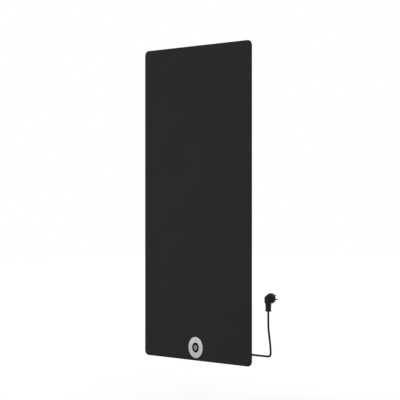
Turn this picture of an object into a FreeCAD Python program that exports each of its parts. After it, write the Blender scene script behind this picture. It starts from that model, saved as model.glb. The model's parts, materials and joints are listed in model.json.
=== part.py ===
import FreeCAD, Part
import math
import os

# Flat electric panel heater that hangs on a wall, with a ring dial near its lower edge,
# and a mains cord that rises to an angled plug beside it.
# Millimetres. X runs to the right, Y into the wall, Z up. The origin lies on the wall
# plane, in the middle of the four wall fixings.

# Front panel: a pressed sheet tray with a folded edge and an inward lip
PANEL_WIDTH = 600.0
PANEL_HEIGHT = 1200.0
PANEL_CORNER_R = 20.0
PANEL_EDGE_DEPTH = 8.0
PANEL_SHEET = 1.2
PANEL_EDGE_ROUND = 1.6
PANEL_LIP = 18.0
PANEL_MOUTH_R = 8.0

# Rear cover: a pressed pan with a flange that lies on the panel's lip
COVER_SHEET = 1.0
COVER_SIDE_MARGIN = 40.0
COVER_END_MARGIN = 24.0
COVER_FLANGE_INSET = 7.0
COVER_CORNER_R = 14.0
COVER_BACK_ROUND = 2.0
BEAD_MARGIN = 60.0
BEAD_WIDTH = 26.0
BEAD_HEIGHT = 3.0
BEAD_ROUND = 1.5
BEAD_COUNT = 4
BEAD_PITCH = 150.0
COVER_SCREW_R = 1.6
COVER_SCREW_LENGTH = 6.0
COVER_SCREW_HEAD_R = 3.5
COVER_SCREW_HEAD = 2.2
COVER_SCREW_GAP = 0.2
SIDE_SCREW_COUNT = 6
END_SCREW_COUNT = 3
COVER_SCREW_END = 60.0

# Hanging: two folded rails on the wall, two folded hangers on the cover
WALL_GAP = 22.0
RAIL_SHEET = 2.0
RAIL_END = 40.0
RAIL_FOOT = 40.0
RAIL_STEP = 10.0
RAIL_HOOK = 20.0
RAIL_FOLD_R = 1.6
HANGER_LENGTH = 300.0
HANGER_FOOT = 36.0
HANGER_HOOK = 16.0
HANGER_HOOK_GAP = 2.0
RIVET_R = 2.0
RIVET_HEAD_R = 4.0
RIVET_HEAD = 1.4
RIVET_COLUMNS = 4
RIVET_END = 30.0
FIXING_INSET_X = 120.0
FIXING_INSET_Z = 240.0
FIXING_SLOT_R = 3.25
FIXING_SLOT_LENGTH = 16.0

# Heating layers behind the front sheet
MICA_SHEET = 0.6
TRACK_SHEET = 0.3
TRACK_WIDTH = 26.0
TRACK_EDGE = 7.0
TRACK_RUNS = 14
TRACK_MARGIN = 10.0
TRACK_TAB = 9.0
TRACK_TAB_WIDTH = 12.0
TRACK_TAB_INSET = 6.5
LAYER_CLEARANCE = 2.0
BOARD_CLEARANCE = 0.5
BAY_HEIGHT = 99.0

# Control housing, from the front sheet back to the cover
HOUSING_DEPTH = 9.8
HOUSING_BASE = 2.0
HOUSING_FLANGE = 1.8
HOUSING_WALL = 1.2
HOUSING_TO_COVER = 1.0
HOUSING_FLANGE_WIDTH = 80.0
HOUSING_FLANGE_HEIGHT = 40.0
HOUSING_BASE_WIDTH = 54.0
HOUSING_BASE_HEIGHT = 38.0
HOUSING_CORNER_R = 5.0
BOARD_STANDOFF = 2.0
BOARD_SHEET = 1.6
STANDOFF_R = 2.6
STANDOFF_INSET = 5.0
CONNECTOR_HEIGHT = 4.4
CONNECTOR_WIDTH = 14.0
CONNECTOR_DEPTH = 9.0
RIBBON_WIDTH = 8.0
RIBBON_SHEET = 1.2
BAY_CLEARANCE = 1.0
STUD_R = 2.0
STUD_LENGTH = 6.0
STUD_INSET = 7.0
NUT_FLATS = 7.0
NUT_HEIGHT = 2.6
HOLE_GAP = 0.3

# Dial: a turning ring on a hub that runs on a fixed spindle
DIAL_R = 40.0
DIAL_BORE_R = 19.0
DIAL_RIM = 0.9
DIAL_CROWN = 0.5
DIAL_RIM_ROUND = 0.35
DIAL_GAP = 0.3
INDEX_R = 2.1
INDEX_INSET = 12.2
INDEX_DEPTH = 0.3
HUB_FLANGE = 0.6
HUB_FLANGE_INSET = 10.0
HUB_WALL = 2.9
RUN_FIT = 0.1
END_PLAY = 0.3
TURN_GAP = 0.4
PANEL_HOLE_GAP = 0.6
SPINDLE_WALL = 1.6
SPINDLE_LEDGE = 2.9
SPINDLE_SEAT = 4.5
BEZEL_THICK = 0.6
WASHER = 0.8
WASHER_GAP = 0.2
WHEEL_THICK = 2.0
WHEEL_SLOTS = 24
WHEEL_SLOT_DEPTH = 1.7
WHEEL_SLOT_WIDTH = 2.0
STOP_HEIGHT = 2.7
STOP_GAP = 0.5
STOP_TO_HUB = 0.4
STOP_WIDTH = 1.8
STOP_LUG_ANGLE = 16.0
STOP_BLOCK_ANGLE = 40.0
SENSOR_GAP = 0.8
SENSOR_REACH = 1.6
SENSOR_LEG = 1.2
SENSOR_WEB = 1.0
SENSOR_WIDTH = 5.0
SENSOR_TO_WALL = 0.4
SCREW_R = 1.0
SCREW_HEAD_R = 1.9
SCREW_HEAD = 1.2
SPINDLE_SCREWS = 3
SPINDLE_SCREW_DEPTH = 4.0

# Push button in the middle of the dial
BUTTON_R = 10.0
BUTTON_GAP = 0.3
BUTTON_FLANGE = 1.2
BUTTON_LIP = 0.8
BUTTON_PROUD = 0.3
BUTTON_ROUND = 0.6
BUTTON_TRAVEL = 1.2
STEM_R = 3.0
DOME_WALL = 0.9
DOME_SLOPE = 3.3
DOME_TO_WALL = 0.6
SWITCH_SIDE = 8.0
SWITCH_HEIGHT = 6.0
PLUNGER_R = 1.9
PLUNGER_OUT = 5.5
PLUNGER_IN = 3.0

# Power side of the bay: board, terminals and leads
POWER_BOARD_WIDTH = 80.0
POWER_BOARD_HEIGHT = 50.0
POWER_BOARD_RISE = 40.0
POWER_POST = 3.0
POWER_POST_R = 3.0
POWER_POST_INSET = 6.0
RELAY_WIDTH = 19.0
RELAY_HEIGHT = 15.0
RELAY_TALL = 11.0
FUSE_R = 2.6
FUSE_LENGTH = 20.0
FUSE_CAP = 5.0
FUSE_RISE = 5.0
FUSE_CLIP = 3.0
PLUG_BLOCK = 10.0
PLUG_BLOCK_TALL = 8.0
TERMINAL_WIDTH = 26.0
TERMINAL_TALL = 13.0
TERMINAL_PITCH = 9.0
TERMINAL_SCREW_R = 2.0
TERMINAL_SCREW = 2.5
TERMINAL_WELL = 4.0
LEAD_R = 1.2
LEAD_BEND_R = 5.0
CORE_R = 0.8
CORE_RUN = 16.0
SUPPLY_RUN = 36.0
LEAD_GAP = 0.3
EARTH_STUD_R = 2.0
EARTH_STUD_LENGTH = 8.0
EARTH_LUG_R = 4.0
EARTH_LUG = 1.0
CUTOUT_R = 8.0
CUTOUT_TALL = 6.0
CUTOUT_FOOT_R = 9.5
CUTOUT_FOOT = 1.2
CUTOUT_RISE = 40.0
CUTOUT_BLADE = 1.0
CUTOUT_BLADE_WIDTH = 4.0
CUTOUT_BLADE_OUT = 4.0
CUTOUT_BLADE_X = 5.2
POCKET_GAP = 1.0
GROOVE_WIDTH = 18.0
GROOVE_DEPTH = 7.0
SENSOR_BULB_R = 2.5
SENSOR_BULB_OUT = 4.0
SENSOR_BULB_IN = 6.0
SENSOR_BULB_FLANGE_R = 4.0
SENSOR_BULB_X = -90.0

# Cord, its gland, and the angled plug
CORD_R = 3.7
CORD_BORE_GAP = 0.15
GLAND_RISE = 43.0
GLAND_REACH = 10.0
GLAND_COLLAR_R = 6.6
GLAND_COLLAR = 3.0
GLAND_NECK_R = 4.7
GLAND_TIP_R = 5.2
GLAND_RIBS = 4
GLAND_RIB_DEPTH = 0.6
TAIL_LENGTH = 32.0
CLAMP_WIDTH = 11.0
CLAMP_SPAN = 24.0
CLAMP_WALL = 2.0
CORE_SPREAD = 1.8
PLUG_SIDE = 66.7
PLUG_RISE = 253.0
PLUG_HEAD_R = 19.0
PLUG_DISC = 13.0
PLUG_DEPTH = 31.0
PLUG_BACK_HALF = 9.5
PLUG_BACK_TOP = 5.0
PLUG_ARM_Y = 19.7
PLUG_ARM_WIDTH = 21.0
PLUG_ARM_DEPTH = 18.5
PLUG_ARM_LENGTH = 47.5
PLUG_ARM_TAPER = 2.4
PLUG_ARM_ROUND = 4.5
PLUG_COLLAR = 3.5
PLUG_COLLAR_STEP = 1.0
PLUG_EDGE_ROUND = 1.2
PLUG_BACK_ROUND = 2.5
PIN_R = 2.4
PIN_SHANK_R = 1.9
PIN_OUT = 19.0
PIN_IN = 12.0
PIN_PITCH = 19.0
PIN_DROP = 3.9
PIN_TIP_ROUND = 1.8
EARTH_PIN_OUT = 20.5
EARTH_PIN_RISE = 9.9
CLIP_WIDTH = 6.0
CLIP_LENGTH = 3.0
CLIP_INSET = 4.0

# A small overlap that lets a cutter pass a face cleanly
PAST = 1.0

# Depth places along Y, from the wall to the front
BAY_DEPTH = HOUSING_DEPTH + HOUSING_BASE + BOARD_STANDOFF + BOARD_SHEET + CONNECTOR_HEIGHT + BAY_CLEARANCE
COVER_DEPTH = BAY_DEPTH + PANEL_SHEET + COVER_SHEET - PANEL_EDGE_DEPTH
Y_COVER_BACK = -WALL_GAP
Y_COVER_IN = Y_COVER_BACK - COVER_SHEET
Y_LIP_BACK = Y_COVER_BACK - COVER_DEPTH
Y_FLANGE_BACK = Y_LIP_BACK + COVER_SHEET
Y_FRONT = Y_LIP_BACK - PANEL_EDGE_DEPTH
Y_SHEET_IN = Y_FRONT + PANEL_SHEET
Y_TRACK = Y_SHEET_IN + MICA_SHEET
Y_TRACK_BACK = Y_TRACK + TRACK_SHEET
Y_BOARD = Y_TRACK_BACK + MICA_SHEET
Y_BASE = Y_SHEET_IN + HOUSING_DEPTH
Y_BASE_BACK = Y_BASE + HOUSING_BASE
Y_CONTROL = Y_BASE_BACK + BOARD_STANDOFF
Y_CONTROL_BACK = Y_CONTROL + BOARD_SHEET
Y_POWER_BACK = Y_COVER_IN - POWER_POST
Y_POWER = Y_POWER_BACK - BOARD_SHEET
Y_CORD = (Y_FLANGE_BACK + Y_COVER_BACK) / 2
Y_GROOVE = Y_COVER_IN - GROOVE_DEPTH / 2

# Dial depth places
Y_RING_BACK = Y_FRONT - DIAL_GAP
Y_HUB_FRONT = Y_RING_BACK - HUB_FLANGE
Y_BEZEL_BACK = Y_HUB_FRONT - END_PLAY
Y_BEZEL = Y_BEZEL_BACK - BEZEL_THICK
Y_RING_RIM = Y_RING_BACK - DIAL_RIM
Y_RING_BORE = Y_RING_RIM - DIAL_CROWN
Y_HUB_END = Y_BASE - WASHER - WASHER_GAP
Y_WHEEL_BACK = Y_BASE - STOP_HEIGHT - STOP_GAP
Y_WHEEL = Y_WHEEL_BACK - WHEEL_THICK
Y_SEAT = Y_BASE - SPINDLE_SEAT
Y_FLANGE_END = Y_BEZEL_BACK + BUTTON_FLANGE
Y_SWITCH = Y_CONTROL - SWITCH_HEIGHT
Y_PLUNGER = Y_SWITCH - PLUNGER_OUT

# Radii that follow from the fits
BEZEL_HOLE_R = BUTTON_R + BUTTON_GAP
BEZEL_R = DIAL_BORE_R - TURN_GAP
BUTTON_LIP_R = BEZEL_HOLE_R + BUTTON_LIP
SPINDLE_BORE_R = BUTTON_LIP_R + BUTTON_GAP
SPINDLE_R = SPINDLE_BORE_R + SPINDLE_WALL
SPINDLE_SEAT_R = SPINDLE_BORE_R - SPINDLE_LEDGE
DOME_FOOT_R = SPINDLE_BORE_R - DOME_TO_WALL
DOME_TOP_R = DOME_FOOT_R - DOME_SLOPE
HUB_BORE_R = SPINDLE_R + RUN_FIT
HUB_R = HUB_BORE_R + HUB_WALL
HUB_FLANGE_R = DIAL_R - HUB_FLANGE_INSET
INDEX_RADIUS = DIAL_R - INDEX_INSET
STOP_INNER_R = HUB_R + STOP_TO_HUB
PANEL_HOLE_R = HUB_R + PANEL_HOLE_GAP
SENSOR_INNER_R = STOP_INNER_R + STOP_WIDTH + SENSOR_GAP
WHEEL_R = SENSOR_INNER_R + SENSOR_REACH
SENSOR_OUTER_R = WHEEL_R + SENSOR_GAP + SENSOR_WEB
CUP_R = SENSOR_OUTER_R + SENSOR_TO_WALL
CUP_OUTER_R = CUP_R + HOUSING_WALL
GLAND_INNER_R = Y_COVER_IN - COVER_BACK_ROUND + COVER_SHEET - Y_CORD

# Places across the panel
PANEL_RIGHT = PANEL_WIDTH / 2
PANEL_BOTTOM = -PANEL_HEIGHT / 2
COVER_WIDTH = PANEL_WIDTH - 2 * COVER_SIDE_MARGIN
COVER_HEIGHT = PANEL_HEIGHT - 2 * COVER_END_MARGIN
COVER_RIGHT = COVER_WIDTH / 2
BEAD_LENGTH = COVER_WIDTH - 2 * BEAD_MARGIN
FIXING_SPACING_X = PANEL_WIDTH - 2 * FIXING_INSET_X
FIXING_SPACING_Z = PANEL_HEIGHT - 2 * FIXING_INSET_Z
RAIL_LENGTH = FIXING_SPACING_X + 2 * RAIL_END
BAY_FLOOR = PANEL_BOTTOM + COVER_END_MARGIN + COVER_SHEET
BAY_TOP = BAY_FLOOR + BAY_HEIGHT
DIAL_Z = BAY_FLOOR + HOUSING_TO_COVER + CUP_OUTER_R
LAYER_HALF = PANEL_WIDTH / 2 - PANEL_LIP - LAYER_CLEARANCE
LAYER_TOP = PANEL_HEIGHT / 2 - PANEL_LIP - LAYER_CLEARANCE
BOARD_HALF = COVER_WIDTH / 2 - COVER_SHEET - BOARD_CLEARANCE
BOARD_TOP = COVER_HEIGHT / 2 - COVER_SHEET - BOARD_CLEARANCE
TRACK_LEFT = -LAYER_HALF + TRACK_EDGE + TRACK_WIDTH / 2
TRACK_PITCH = -2 * TRACK_LEFT / (TRACK_RUNS - 1)
TRACK_TAB_X = COVER_RIGHT - COVER_SHEET - TRACK_TAB_INSET
POWER_BOARD_Z = BAY_FLOOR + POWER_BOARD_RISE
CORD_Z = PANEL_BOTTOM + GLAND_RISE
GLAND_END_X = PANEL_RIGHT - GLAND_REACH
TAIL_END_X = COVER_RIGHT - TAIL_LENGTH
TERMINAL_RIGHT = TAIL_END_X - CORE_RUN
TERMINAL_LEFT = TERMINAL_RIGHT - TERMINAL_WIDTH
TERMINAL_X = (TERMINAL_LEFT + TERMINAL_RIGHT) / 2
POWER_BOARD_RIGHT = TERMINAL_LEFT - SUPPLY_RUN
POWER_BOARD_X = POWER_BOARD_RIGHT - POWER_BOARD_WIDTH / 2
PLUG_X = PANEL_RIGHT + PLUG_SIDE
PLUG_Z = PANEL_BOTTOM + PLUG_RISE
EARTH_PIN_Z = PLUG_Z + EARTH_PIN_RISE
CUTOUT_Z = BAY_TOP + CUTOUT_RISE

V = FreeCAD.Vector
ALONG_Y = V(0, 1, 0)


# Shape helpers

def block(x_span, y_span, z_span):
    """A box between the two ends of each span."""
    low = V(x_span[0], y_span[0], z_span[0])
    return Part.makeBox(x_span[1] - x_span[0], y_span[1] - y_span[0], z_span[1] - z_span[0], low)


def centred(middle, width):
    """The span of a width about its middle."""
    return (middle - width / 2, middle + width / 2)


def rod(radius, start, end):
    """A cylinder between two points."""
    return Part.makeCylinder(radius, (end - start).Length, start, end - start)


def rod_y(radius, x, z, y_start, y_end):
    """A cylinder along Y."""
    return rod(radius, V(x, y_start, z), V(x, y_end, z))


def ring_y(outer, inner, x, z, y_start, y_end):
    """A plain ring along Y."""
    return rod_y(outer, x, z, y_start, y_end).cut(rod_y(inner, x, z, y_start - PAST, y_end + PAST))


def rounded_wire(width, height, corner, place):
    """A closed rectangle with round corners, given by a function that places its points."""
    half_w = width / 2
    half_h = height / 2
    edges = []
    previous = None
    first = None
    for turn in range(4):
        sign_x = (1, -1, -1, 1)[turn]
        sign_z = (1, 1, -1, -1)[turn]
        centre = (sign_x * (half_w - corner), sign_z * (half_h - corner))
        points = []
        for step in range(3):
            angle = math.radians(90 * turn + 45 * step)
            points.append(place(centre[0] + corner * math.cos(angle), centre[1] + corner * math.sin(angle)))
        if previous is None:
            first = points[0]
        else:
            edges.append(Part.LineSegment(previous, points[0]).toShape())
        edges.append(Part.Arc(points[0], points[1], points[2]).toShape())
        previous = points[2]
    edges.append(Part.LineSegment(previous, first).toShape())
    return Part.Wire(edges)


def slab(width, height, corner, y_start, y_end, x=0.0, z=0.0):
    """A plate with round corners, flat in XZ, between two places along Y."""
    wire = rounded_wire(width, height, corner, lambda a, b: V(x + a, y_start, z + b))
    return Part.Face(wire).extrude(V(0, y_end - y_start, 0))


def polygon_face(points):
    """A flat face through points."""
    return Part.Face(Part.makePolygon(points + [points[0]]))


def turned(profile, x, z):
    """A solid of revolution about a line along Y, from (radius, y) points."""
    face = polygon_face([V(x + radius, y, z) for radius, y in profile])
    return face.revolve(V(x, 0, z), ALONG_Y, 360)


def turned_x(profile, y, z):
    """A solid of revolution about a line along X, from (x, radius) points."""
    face = polygon_face([V(x, y, z + radius) for x, radius in profile])
    return face.revolve(V(0, y, z), V(1, 0, 0), 360)


def folded(profile, length, outside, inside):
    """A folded strip along X, from its section's (y, z) outline and the corners where it folds."""
    face = polygon_face([V(-length / 2, y, z) for y, z in profile])
    strip = face.extrude(V(length, 0, 0))
    strip = strip.makeFillet(RAIL_FOLD_R, [edge_at(strip, y, z) for y, z in inside])
    return strip.makeFillet(RAIL_FOLD_R + RAIL_SHEET, [edge_at(strip, y, z) for y, z in outside])


def edges_at_y(shape, y):
    """The edges of a shape that lie wholly at one place along Y."""
    return [e for e in shape.Edges if all(abs(v.Point.y - y) < 1e-6 for v in e.Vertexes)]


def edges_before(shape, y):
    """The edges of a shape that lie wholly on the room's side of a place along Y."""
    return [e for e in shape.Edges if all(v.Point.y < y + 1e-6 for v in e.Vertexes)]


def edge_at(shape, y, z):
    """The edge along X of a folded strip at one corner of its section."""
    for edge in shape.Edges:
        if all(math.hypot(v.Point.y - y, v.Point.z - z) < 1e-6 for v in edge.Vertexes):
            return edge
    raise ValueError("no edge at this corner")


def joined(shapes):
    """Several solids as one, with flat faces merged."""
    return shapes[0].fuse(shapes[1:]).removeSplitter()


def lead_path(points, largest=math.inf):
    """Straight runs joined by tangent arcs, and the arc radii. A wire's bends have a largest radius."""
    pieces = []
    radii = []
    start = points[0]
    for index in range(1, len(points) - 1):
        corner = points[index]
        before = corner - points[index - 1]
        after = points[index + 1] - corner
        half_turn = before.getAngle(after) / 2
        room = 0.45 * min(before.Length, after.Length)
        radius = min(room / math.tan(half_turn), largest)
        trim = radius * math.tan(half_turn)
        before.normalize()
        after.normalize()
        inward = after - before
        inward.normalize()
        entry = corner - before * trim
        leave = corner + after * trim
        middle = corner + inward * (radius / math.cos(half_turn) - radius)
        pieces.append(Part.LineSegment(start, entry))
        pieces.append(Part.Arc(entry, middle, leave))
        radii.append(radius)
        start = leave
    pieces.append(Part.LineSegment(start, points[-1]))
    return Part.Wire([piece.toShape() for piece in pieces]), radii


def lead(points, radius, largest=LEAD_BEND_R):
    """A round cord or wire along a path of points."""
    path, radii = lead_path(points, largest)
    circle = Part.Wire([Part.Circle(points[0], points[1] - points[0], radius).toShape()])
    return path.makePipeShell([circle], True, False)


def dial_point(radius, degrees, y):
    """A point about the dial's axis, with the angle counted from +X towards +Z."""
    angle = math.radians(degrees)
    return V(radius * math.cos(angle), y, DIAL_Z + radius * math.sin(angle))


def sector(inner, outer, middle, spread, y_start, y_end):
    """A curved block about the dial's axis, spread degrees wide about its middle."""
    a = middle - spread / 2
    b = middle + spread / 2
    outer_points = [dial_point(outer, angle, y_start) for angle in (a, middle, b)]
    inner_points = [dial_point(inner, angle, y_start) for angle in (b, middle, a)]
    edges = [
        Part.Arc(*outer_points),
        Part.LineSegment(outer_points[2], inner_points[0]),
        Part.Arc(*inner_points),
        Part.LineSegment(inner_points[2], outer_points[0]),
    ]
    wire = Part.Wire([edge.toShape() for edge in edges])
    return Part.Face(wire).extrude(V(0, y_end - y_start, 0))


# Fixing places that more than one piece shares

def spread(count, first, last):
    """Evenly spaced places from first to last."""
    return [first + (last - first) * i / (count - 1) for i in range(count)]


def cover_screw_places():
    """Screws round the cover's flange, midway between the lip's inner edge and the flange's edge."""
    inset = (PANEL_LIP + COVER_FLANGE_INSET) / 2
    side_x = PANEL_WIDTH / 2 - inset
    end_z = PANEL_HEIGHT / 2 - inset
    reach_z = end_z - COVER_SCREW_END
    reach_x = side_x - COVER_SCREW_END
    places = [(s * side_x, z) for s in (-1, 1) for z in spread(SIDE_SCREW_COUNT, -reach_z, reach_z)]
    places += [(x, s * end_z) for s in (-1, 1) for x in spread(END_SCREW_COUNT, -reach_x, reach_x)]
    return places


def stud_places():
    """Weld studs that hold the control housing."""
    x = HOUSING_FLANGE_WIDTH / 2 - STUD_INSET
    z = HOUSING_FLANGE_HEIGHT / 2 - STUD_INSET
    return [(sx * x, DIAL_Z + sz * z) for sx in (-1, 1) for sz in (-1, 1)]


def standoff_places():
    """Stand-offs and screws of the control board."""
    x = HOUSING_BASE_WIDTH / 2 - STANDOFF_INSET
    z = HOUSING_BASE_HEIGHT / 2 - STANDOFF_INSET
    return [(sx * x, DIAL_Z + sz * z) for sx in (-1, 1) for sz in (-1, 1)]


def spindle_screw_places():
    """Screws from behind into the thick foot of the spindle."""
    radius = (SPINDLE_SEAT_R + SPINDLE_R) / 2
    points = [dial_point(radius, 90 + 360 * i / SPINDLE_SCREWS, 0) for i in range(SPINDLE_SCREWS)]
    return [(p.x, p.z) for p in points]


def power_post_places():
    """Posts that carry the power board."""
    x = POWER_BOARD_WIDTH / 2 - POWER_POST_INSET
    z = POWER_BOARD_HEIGHT / 2 - POWER_POST_INSET
    return [(POWER_BOARD_X + sx * x, POWER_BOARD_Z + sz * z) for sx in (-1, 1) for sz in (-1, 1)]


def fixing_heights():
    """Heights of the lower and upper wall fixings."""
    return (-FIXING_SPACING_Z / 2, FIXING_SPACING_Z / 2)


def rivet_places(rest_z):
    """Rivets of one hanger, whose web rests at the given height."""
    z = rest_z + RAIL_SHEET - HANGER_FOOT / 2
    reach = HANGER_LENGTH / 2 - RIVET_END
    return [(x, z) for x in spread(RIVET_COLUMNS, -reach, reach)]


def rest_height(fixing_z):
    """Height where a hanger rests on the rail with the given fixing height."""
    return fixing_z + RAIL_FOOT / 2 + RAIL_HOOK


def terminal_heights():
    """Heights of the earth, neutral and live terminals, from the top."""
    return [CORD_Z + TERMINAL_PITCH * k for k in (1, 0, -1)]


# Casing

def front_panel():
    """The visible tray: flat front, folded edge, inward lip, hole for the dial's hub."""
    tray = slab(PANEL_WIDTH, PANEL_HEIGHT, PANEL_CORNER_R, Y_FRONT, Y_LIP_BACK)
    tray = tray.makeFillet(PANEL_EDGE_ROUND, edges_at_y(tray, Y_FRONT))
    wall = 2 * PANEL_SHEET
    hollow = slab(PANEL_WIDTH - wall, PANEL_HEIGHT - wall, PANEL_CORNER_R - PANEL_SHEET,
                  Y_SHEET_IN, Y_LIP_BACK - PANEL_SHEET)
    lip = 2 * PANEL_LIP
    mouth = slab(PANEL_WIDTH - lip, PANEL_HEIGHT - lip, PANEL_MOUTH_R, Y_SHEET_IN + PAST, Y_LIP_BACK + PAST)
    cutters = [hollow, mouth, rod_y(PANEL_HOLE_R, 0, DIAL_Z, Y_FRONT - PAST, Y_SHEET_IN + PAST)]
    for x, z in cover_screw_places():
        cutters.append(rod_y(COVER_SCREW_R, x, z, Y_LIP_BACK - PANEL_SHEET - PAST, Y_LIP_BACK + PAST))
    return tray.cut(cutters)


def cover_bead(z, inset, y_start, y_end):
    """One stiffening bead, or the hollow behind it."""
    width = BEAD_WIDTH - 2 * inset
    return slab(BEAD_LENGTH - 2 * inset, width, width / 2 - PAST / 2, y_start, y_end, 0, z)


def rear_cover():
    """The pressed pan that closes the back, with its flange, beads and openings."""
    inset = 2 * COVER_FLANGE_INSET
    flange = slab(PANEL_WIDTH - inset, PANEL_HEIGHT - inset, PANEL_CORNER_R - COVER_FLANGE_INSET,
                  Y_LIP_BACK, Y_FLANGE_BACK)
    pan = slab(COVER_WIDTH, COVER_HEIGHT, COVER_CORNER_R, Y_LIP_BACK, Y_COVER_BACK)
    pan = pan.makeFillet(COVER_BACK_ROUND, edges_at_y(pan, Y_COVER_BACK))
    wall = 2 * COVER_SHEET
    hollow = slab(COVER_WIDTH - wall, COVER_HEIGHT - wall, COVER_CORNER_R - COVER_SHEET,
                  Y_LIP_BACK - PAST, Y_COVER_IN)
    hollow = hollow.makeFillet(COVER_BACK_ROUND - COVER_SHEET, edges_at_y(hollow, Y_COVER_IN))
    beads = []
    cutters = [hollow]
    for z in spread(BEAD_COUNT, -(BEAD_COUNT - 1) * BEAD_PITCH / 2, (BEAD_COUNT - 1) * BEAD_PITCH / 2):
        bead = cover_bead(z, 0, Y_COVER_IN, Y_COVER_BACK + BEAD_HEIGHT)
        beads.append(bead.makeFillet(BEAD_ROUND, edges_at_y(bead, Y_COVER_BACK + BEAD_HEIGHT)))
        cutters.append(cover_bead(z, COVER_SHEET, Y_COVER_IN - PAST, Y_COVER_IN + BEAD_HEIGHT))
    for x, z in cover_screw_places():
        cutters.append(rod_y(COVER_SCREW_R + COVER_SCREW_GAP, x, z, Y_LIP_BACK - PAST, Y_FLANGE_BACK + PAST))
    for fixing_z in fixing_heights():
        for x, z in rivet_places(rest_height(fixing_z)):
            cutters.append(rod_y(RIVET_R, x, z, Y_COVER_IN - PAST, Y_COVER_BACK + PAST))
    gland_start = V(COVER_RIGHT - COVER_SHEET - PAST, Y_CORD, CORD_Z)
    cutters.append(rod(GLAND_NECK_R, gland_start, V(COVER_RIGHT + PAST, Y_CORD, CORD_Z)))
    cutters.append(rod(SENSOR_BULB_R, V(SENSOR_BULB_X, Y_CORD, BAY_FLOOR + PAST),
                       V(SENSOR_BULB_X, Y_CORD, BAY_FLOOR - COVER_SHEET - PAST)))
    return flange.fuse([pan] + beads).cut(cutters).removeSplitter()


def cover_screws():
    """Pan head screws that hold the cover to the panel's lip."""
    screws = []
    for x, z in cover_screw_places():
        head = rod_y(COVER_SCREW_HEAD_R, x, z, Y_FLANGE_BACK, Y_FLANGE_BACK + COVER_SCREW_HEAD)
        head = head.makeFillet(COVER_SCREW_HEAD / 2, edges_at_y(head, Y_FLANGE_BACK + COVER_SCREW_HEAD))
        shank = rod_y(COVER_SCREW_R, x, z, Y_FLANGE_BACK - COVER_SCREW_LENGTH, Y_FLANGE_BACK)
        screws.append(head.fuse(shank))
    return Part.makeCompound(screws)


# Hanging

def wall_rail(fixing_z):
    """A folded rail with two slots for the wall fixings and an upturned hook."""
    foot_low = fixing_z - RAIL_FOOT / 2
    foot_top = fixing_z + RAIL_FOOT / 2
    hook_top = foot_top + RAIL_HOOK
    outline = [
        (0, foot_low),
        (0, foot_top),
        (-RAIL_STEP, foot_top),
        (-RAIL_STEP, hook_top),
        (-RAIL_STEP - RAIL_SHEET, hook_top),
        (-RAIL_STEP - RAIL_SHEET, foot_top - RAIL_SHEET),
        (-RAIL_SHEET, foot_top - RAIL_SHEET),
        (-RAIL_SHEET, foot_low),
    ]
    rail = folded(outline, RAIL_LENGTH, [outline[1], outline[5]], [outline[2], outline[6]])
    slots = []
    for x in (-FIXING_SPACING_X / 2, FIXING_SPACING_X / 2):
        slots.append(slot_cutter(x, fixing_z))
    return rail.cut(slots)


def slot_cutter(x, z):
    """A slot along X for one wall fixing."""
    half = FIXING_SLOT_LENGTH / 2 - FIXING_SLOT_R
    ends = [rod_y(FIXING_SLOT_R, x + s * half, z, -RAIL_SHEET - PAST, PAST) for s in (-1, 1)]
    middle = block((x - half, x + half), (-RAIL_SHEET - PAST, PAST), centred(z, 2 * FIXING_SLOT_R))
    return middle.fuse(ends)


def hanger(fixing_z):
    """A folded strip on the cover whose hook drops behind the rail's hook."""
    rest = rest_height(fixing_z)
    top = rest + RAIL_SHEET
    hook_front = -RAIL_STEP + HANGER_HOOK_GAP
    outline = [
        (Y_COVER_BACK, top - HANGER_FOOT),
        (Y_COVER_BACK, top),
        (hook_front + RAIL_SHEET, top),
        (hook_front + RAIL_SHEET, top - HANGER_HOOK),
        (hook_front, top - HANGER_HOOK),
        (hook_front, rest),
        (Y_COVER_BACK + RAIL_SHEET, rest),
        (Y_COVER_BACK + RAIL_SHEET, top - HANGER_FOOT),
    ]
    strip = folded(outline, HANGER_LENGTH, [outline[1], outline[2]], [outline[5], outline[6]])
    holes = []
    for x, z in rivet_places(rest):
        holes.append(rod_y(RIVET_R, x, z, Y_COVER_BACK - PAST, Y_COVER_BACK + RAIL_SHEET + PAST))
    return strip.cut(holes)


def hanger_rivets():
    """Rivets that hold both hangers to the cover, flush on the inside."""
    rivets = []
    for fixing_z in fixing_heights():
        for x, z in rivet_places(rest_height(fixing_z)):
            seat = Y_COVER_BACK + RAIL_SHEET
            head = rod_y(RIVET_HEAD_R, x, z, seat, seat + RIVET_HEAD)
            rivets.append(head.fuse(rod_y(RIVET_R, x, z, Y_COVER_IN, seat)))
    return Part.makeCompound(rivets)


# Heating layers

def mica_layer(y_start):
    """One insulating sheet of the heating stack."""
    return block((-LAYER_HALF, LAYER_HALF), (y_start, y_start + MICA_SHEET), (BAY_TOP, LAYER_TOP))


def heating_track():
    """A resistive strip in long upright runs, with a tab at each end."""
    low = BAY_TOP + TRACK_MARGIN
    high = LAYER_TOP - TRACK_MARGIN
    depth = (Y_TRACK, Y_TRACK_BACK)
    pieces = []
    for run in range(TRACK_RUNS):
        x = TRACK_LEFT + run * TRACK_PITCH
        pieces.append(block(centred(x, TRACK_WIDTH), depth, (low, high)))
        if run < TRACK_RUNS - 1:
            across = (x, x + TRACK_PITCH)
            level = (high - TRACK_WIDTH, high) if run % 2 == 0 else (low, low + TRACK_WIDTH)
            pieces.append(block(across, depth, level))
    for side in (-1, 1):
        tab = (BAY_TOP - TRACK_TAB, low + TRACK_WIDTH)
        pieces.append(block(centred(side * TRACK_TAB_X, TRACK_TAB_WIDTH), depth, tab))
    return joined(pieces)


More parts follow.
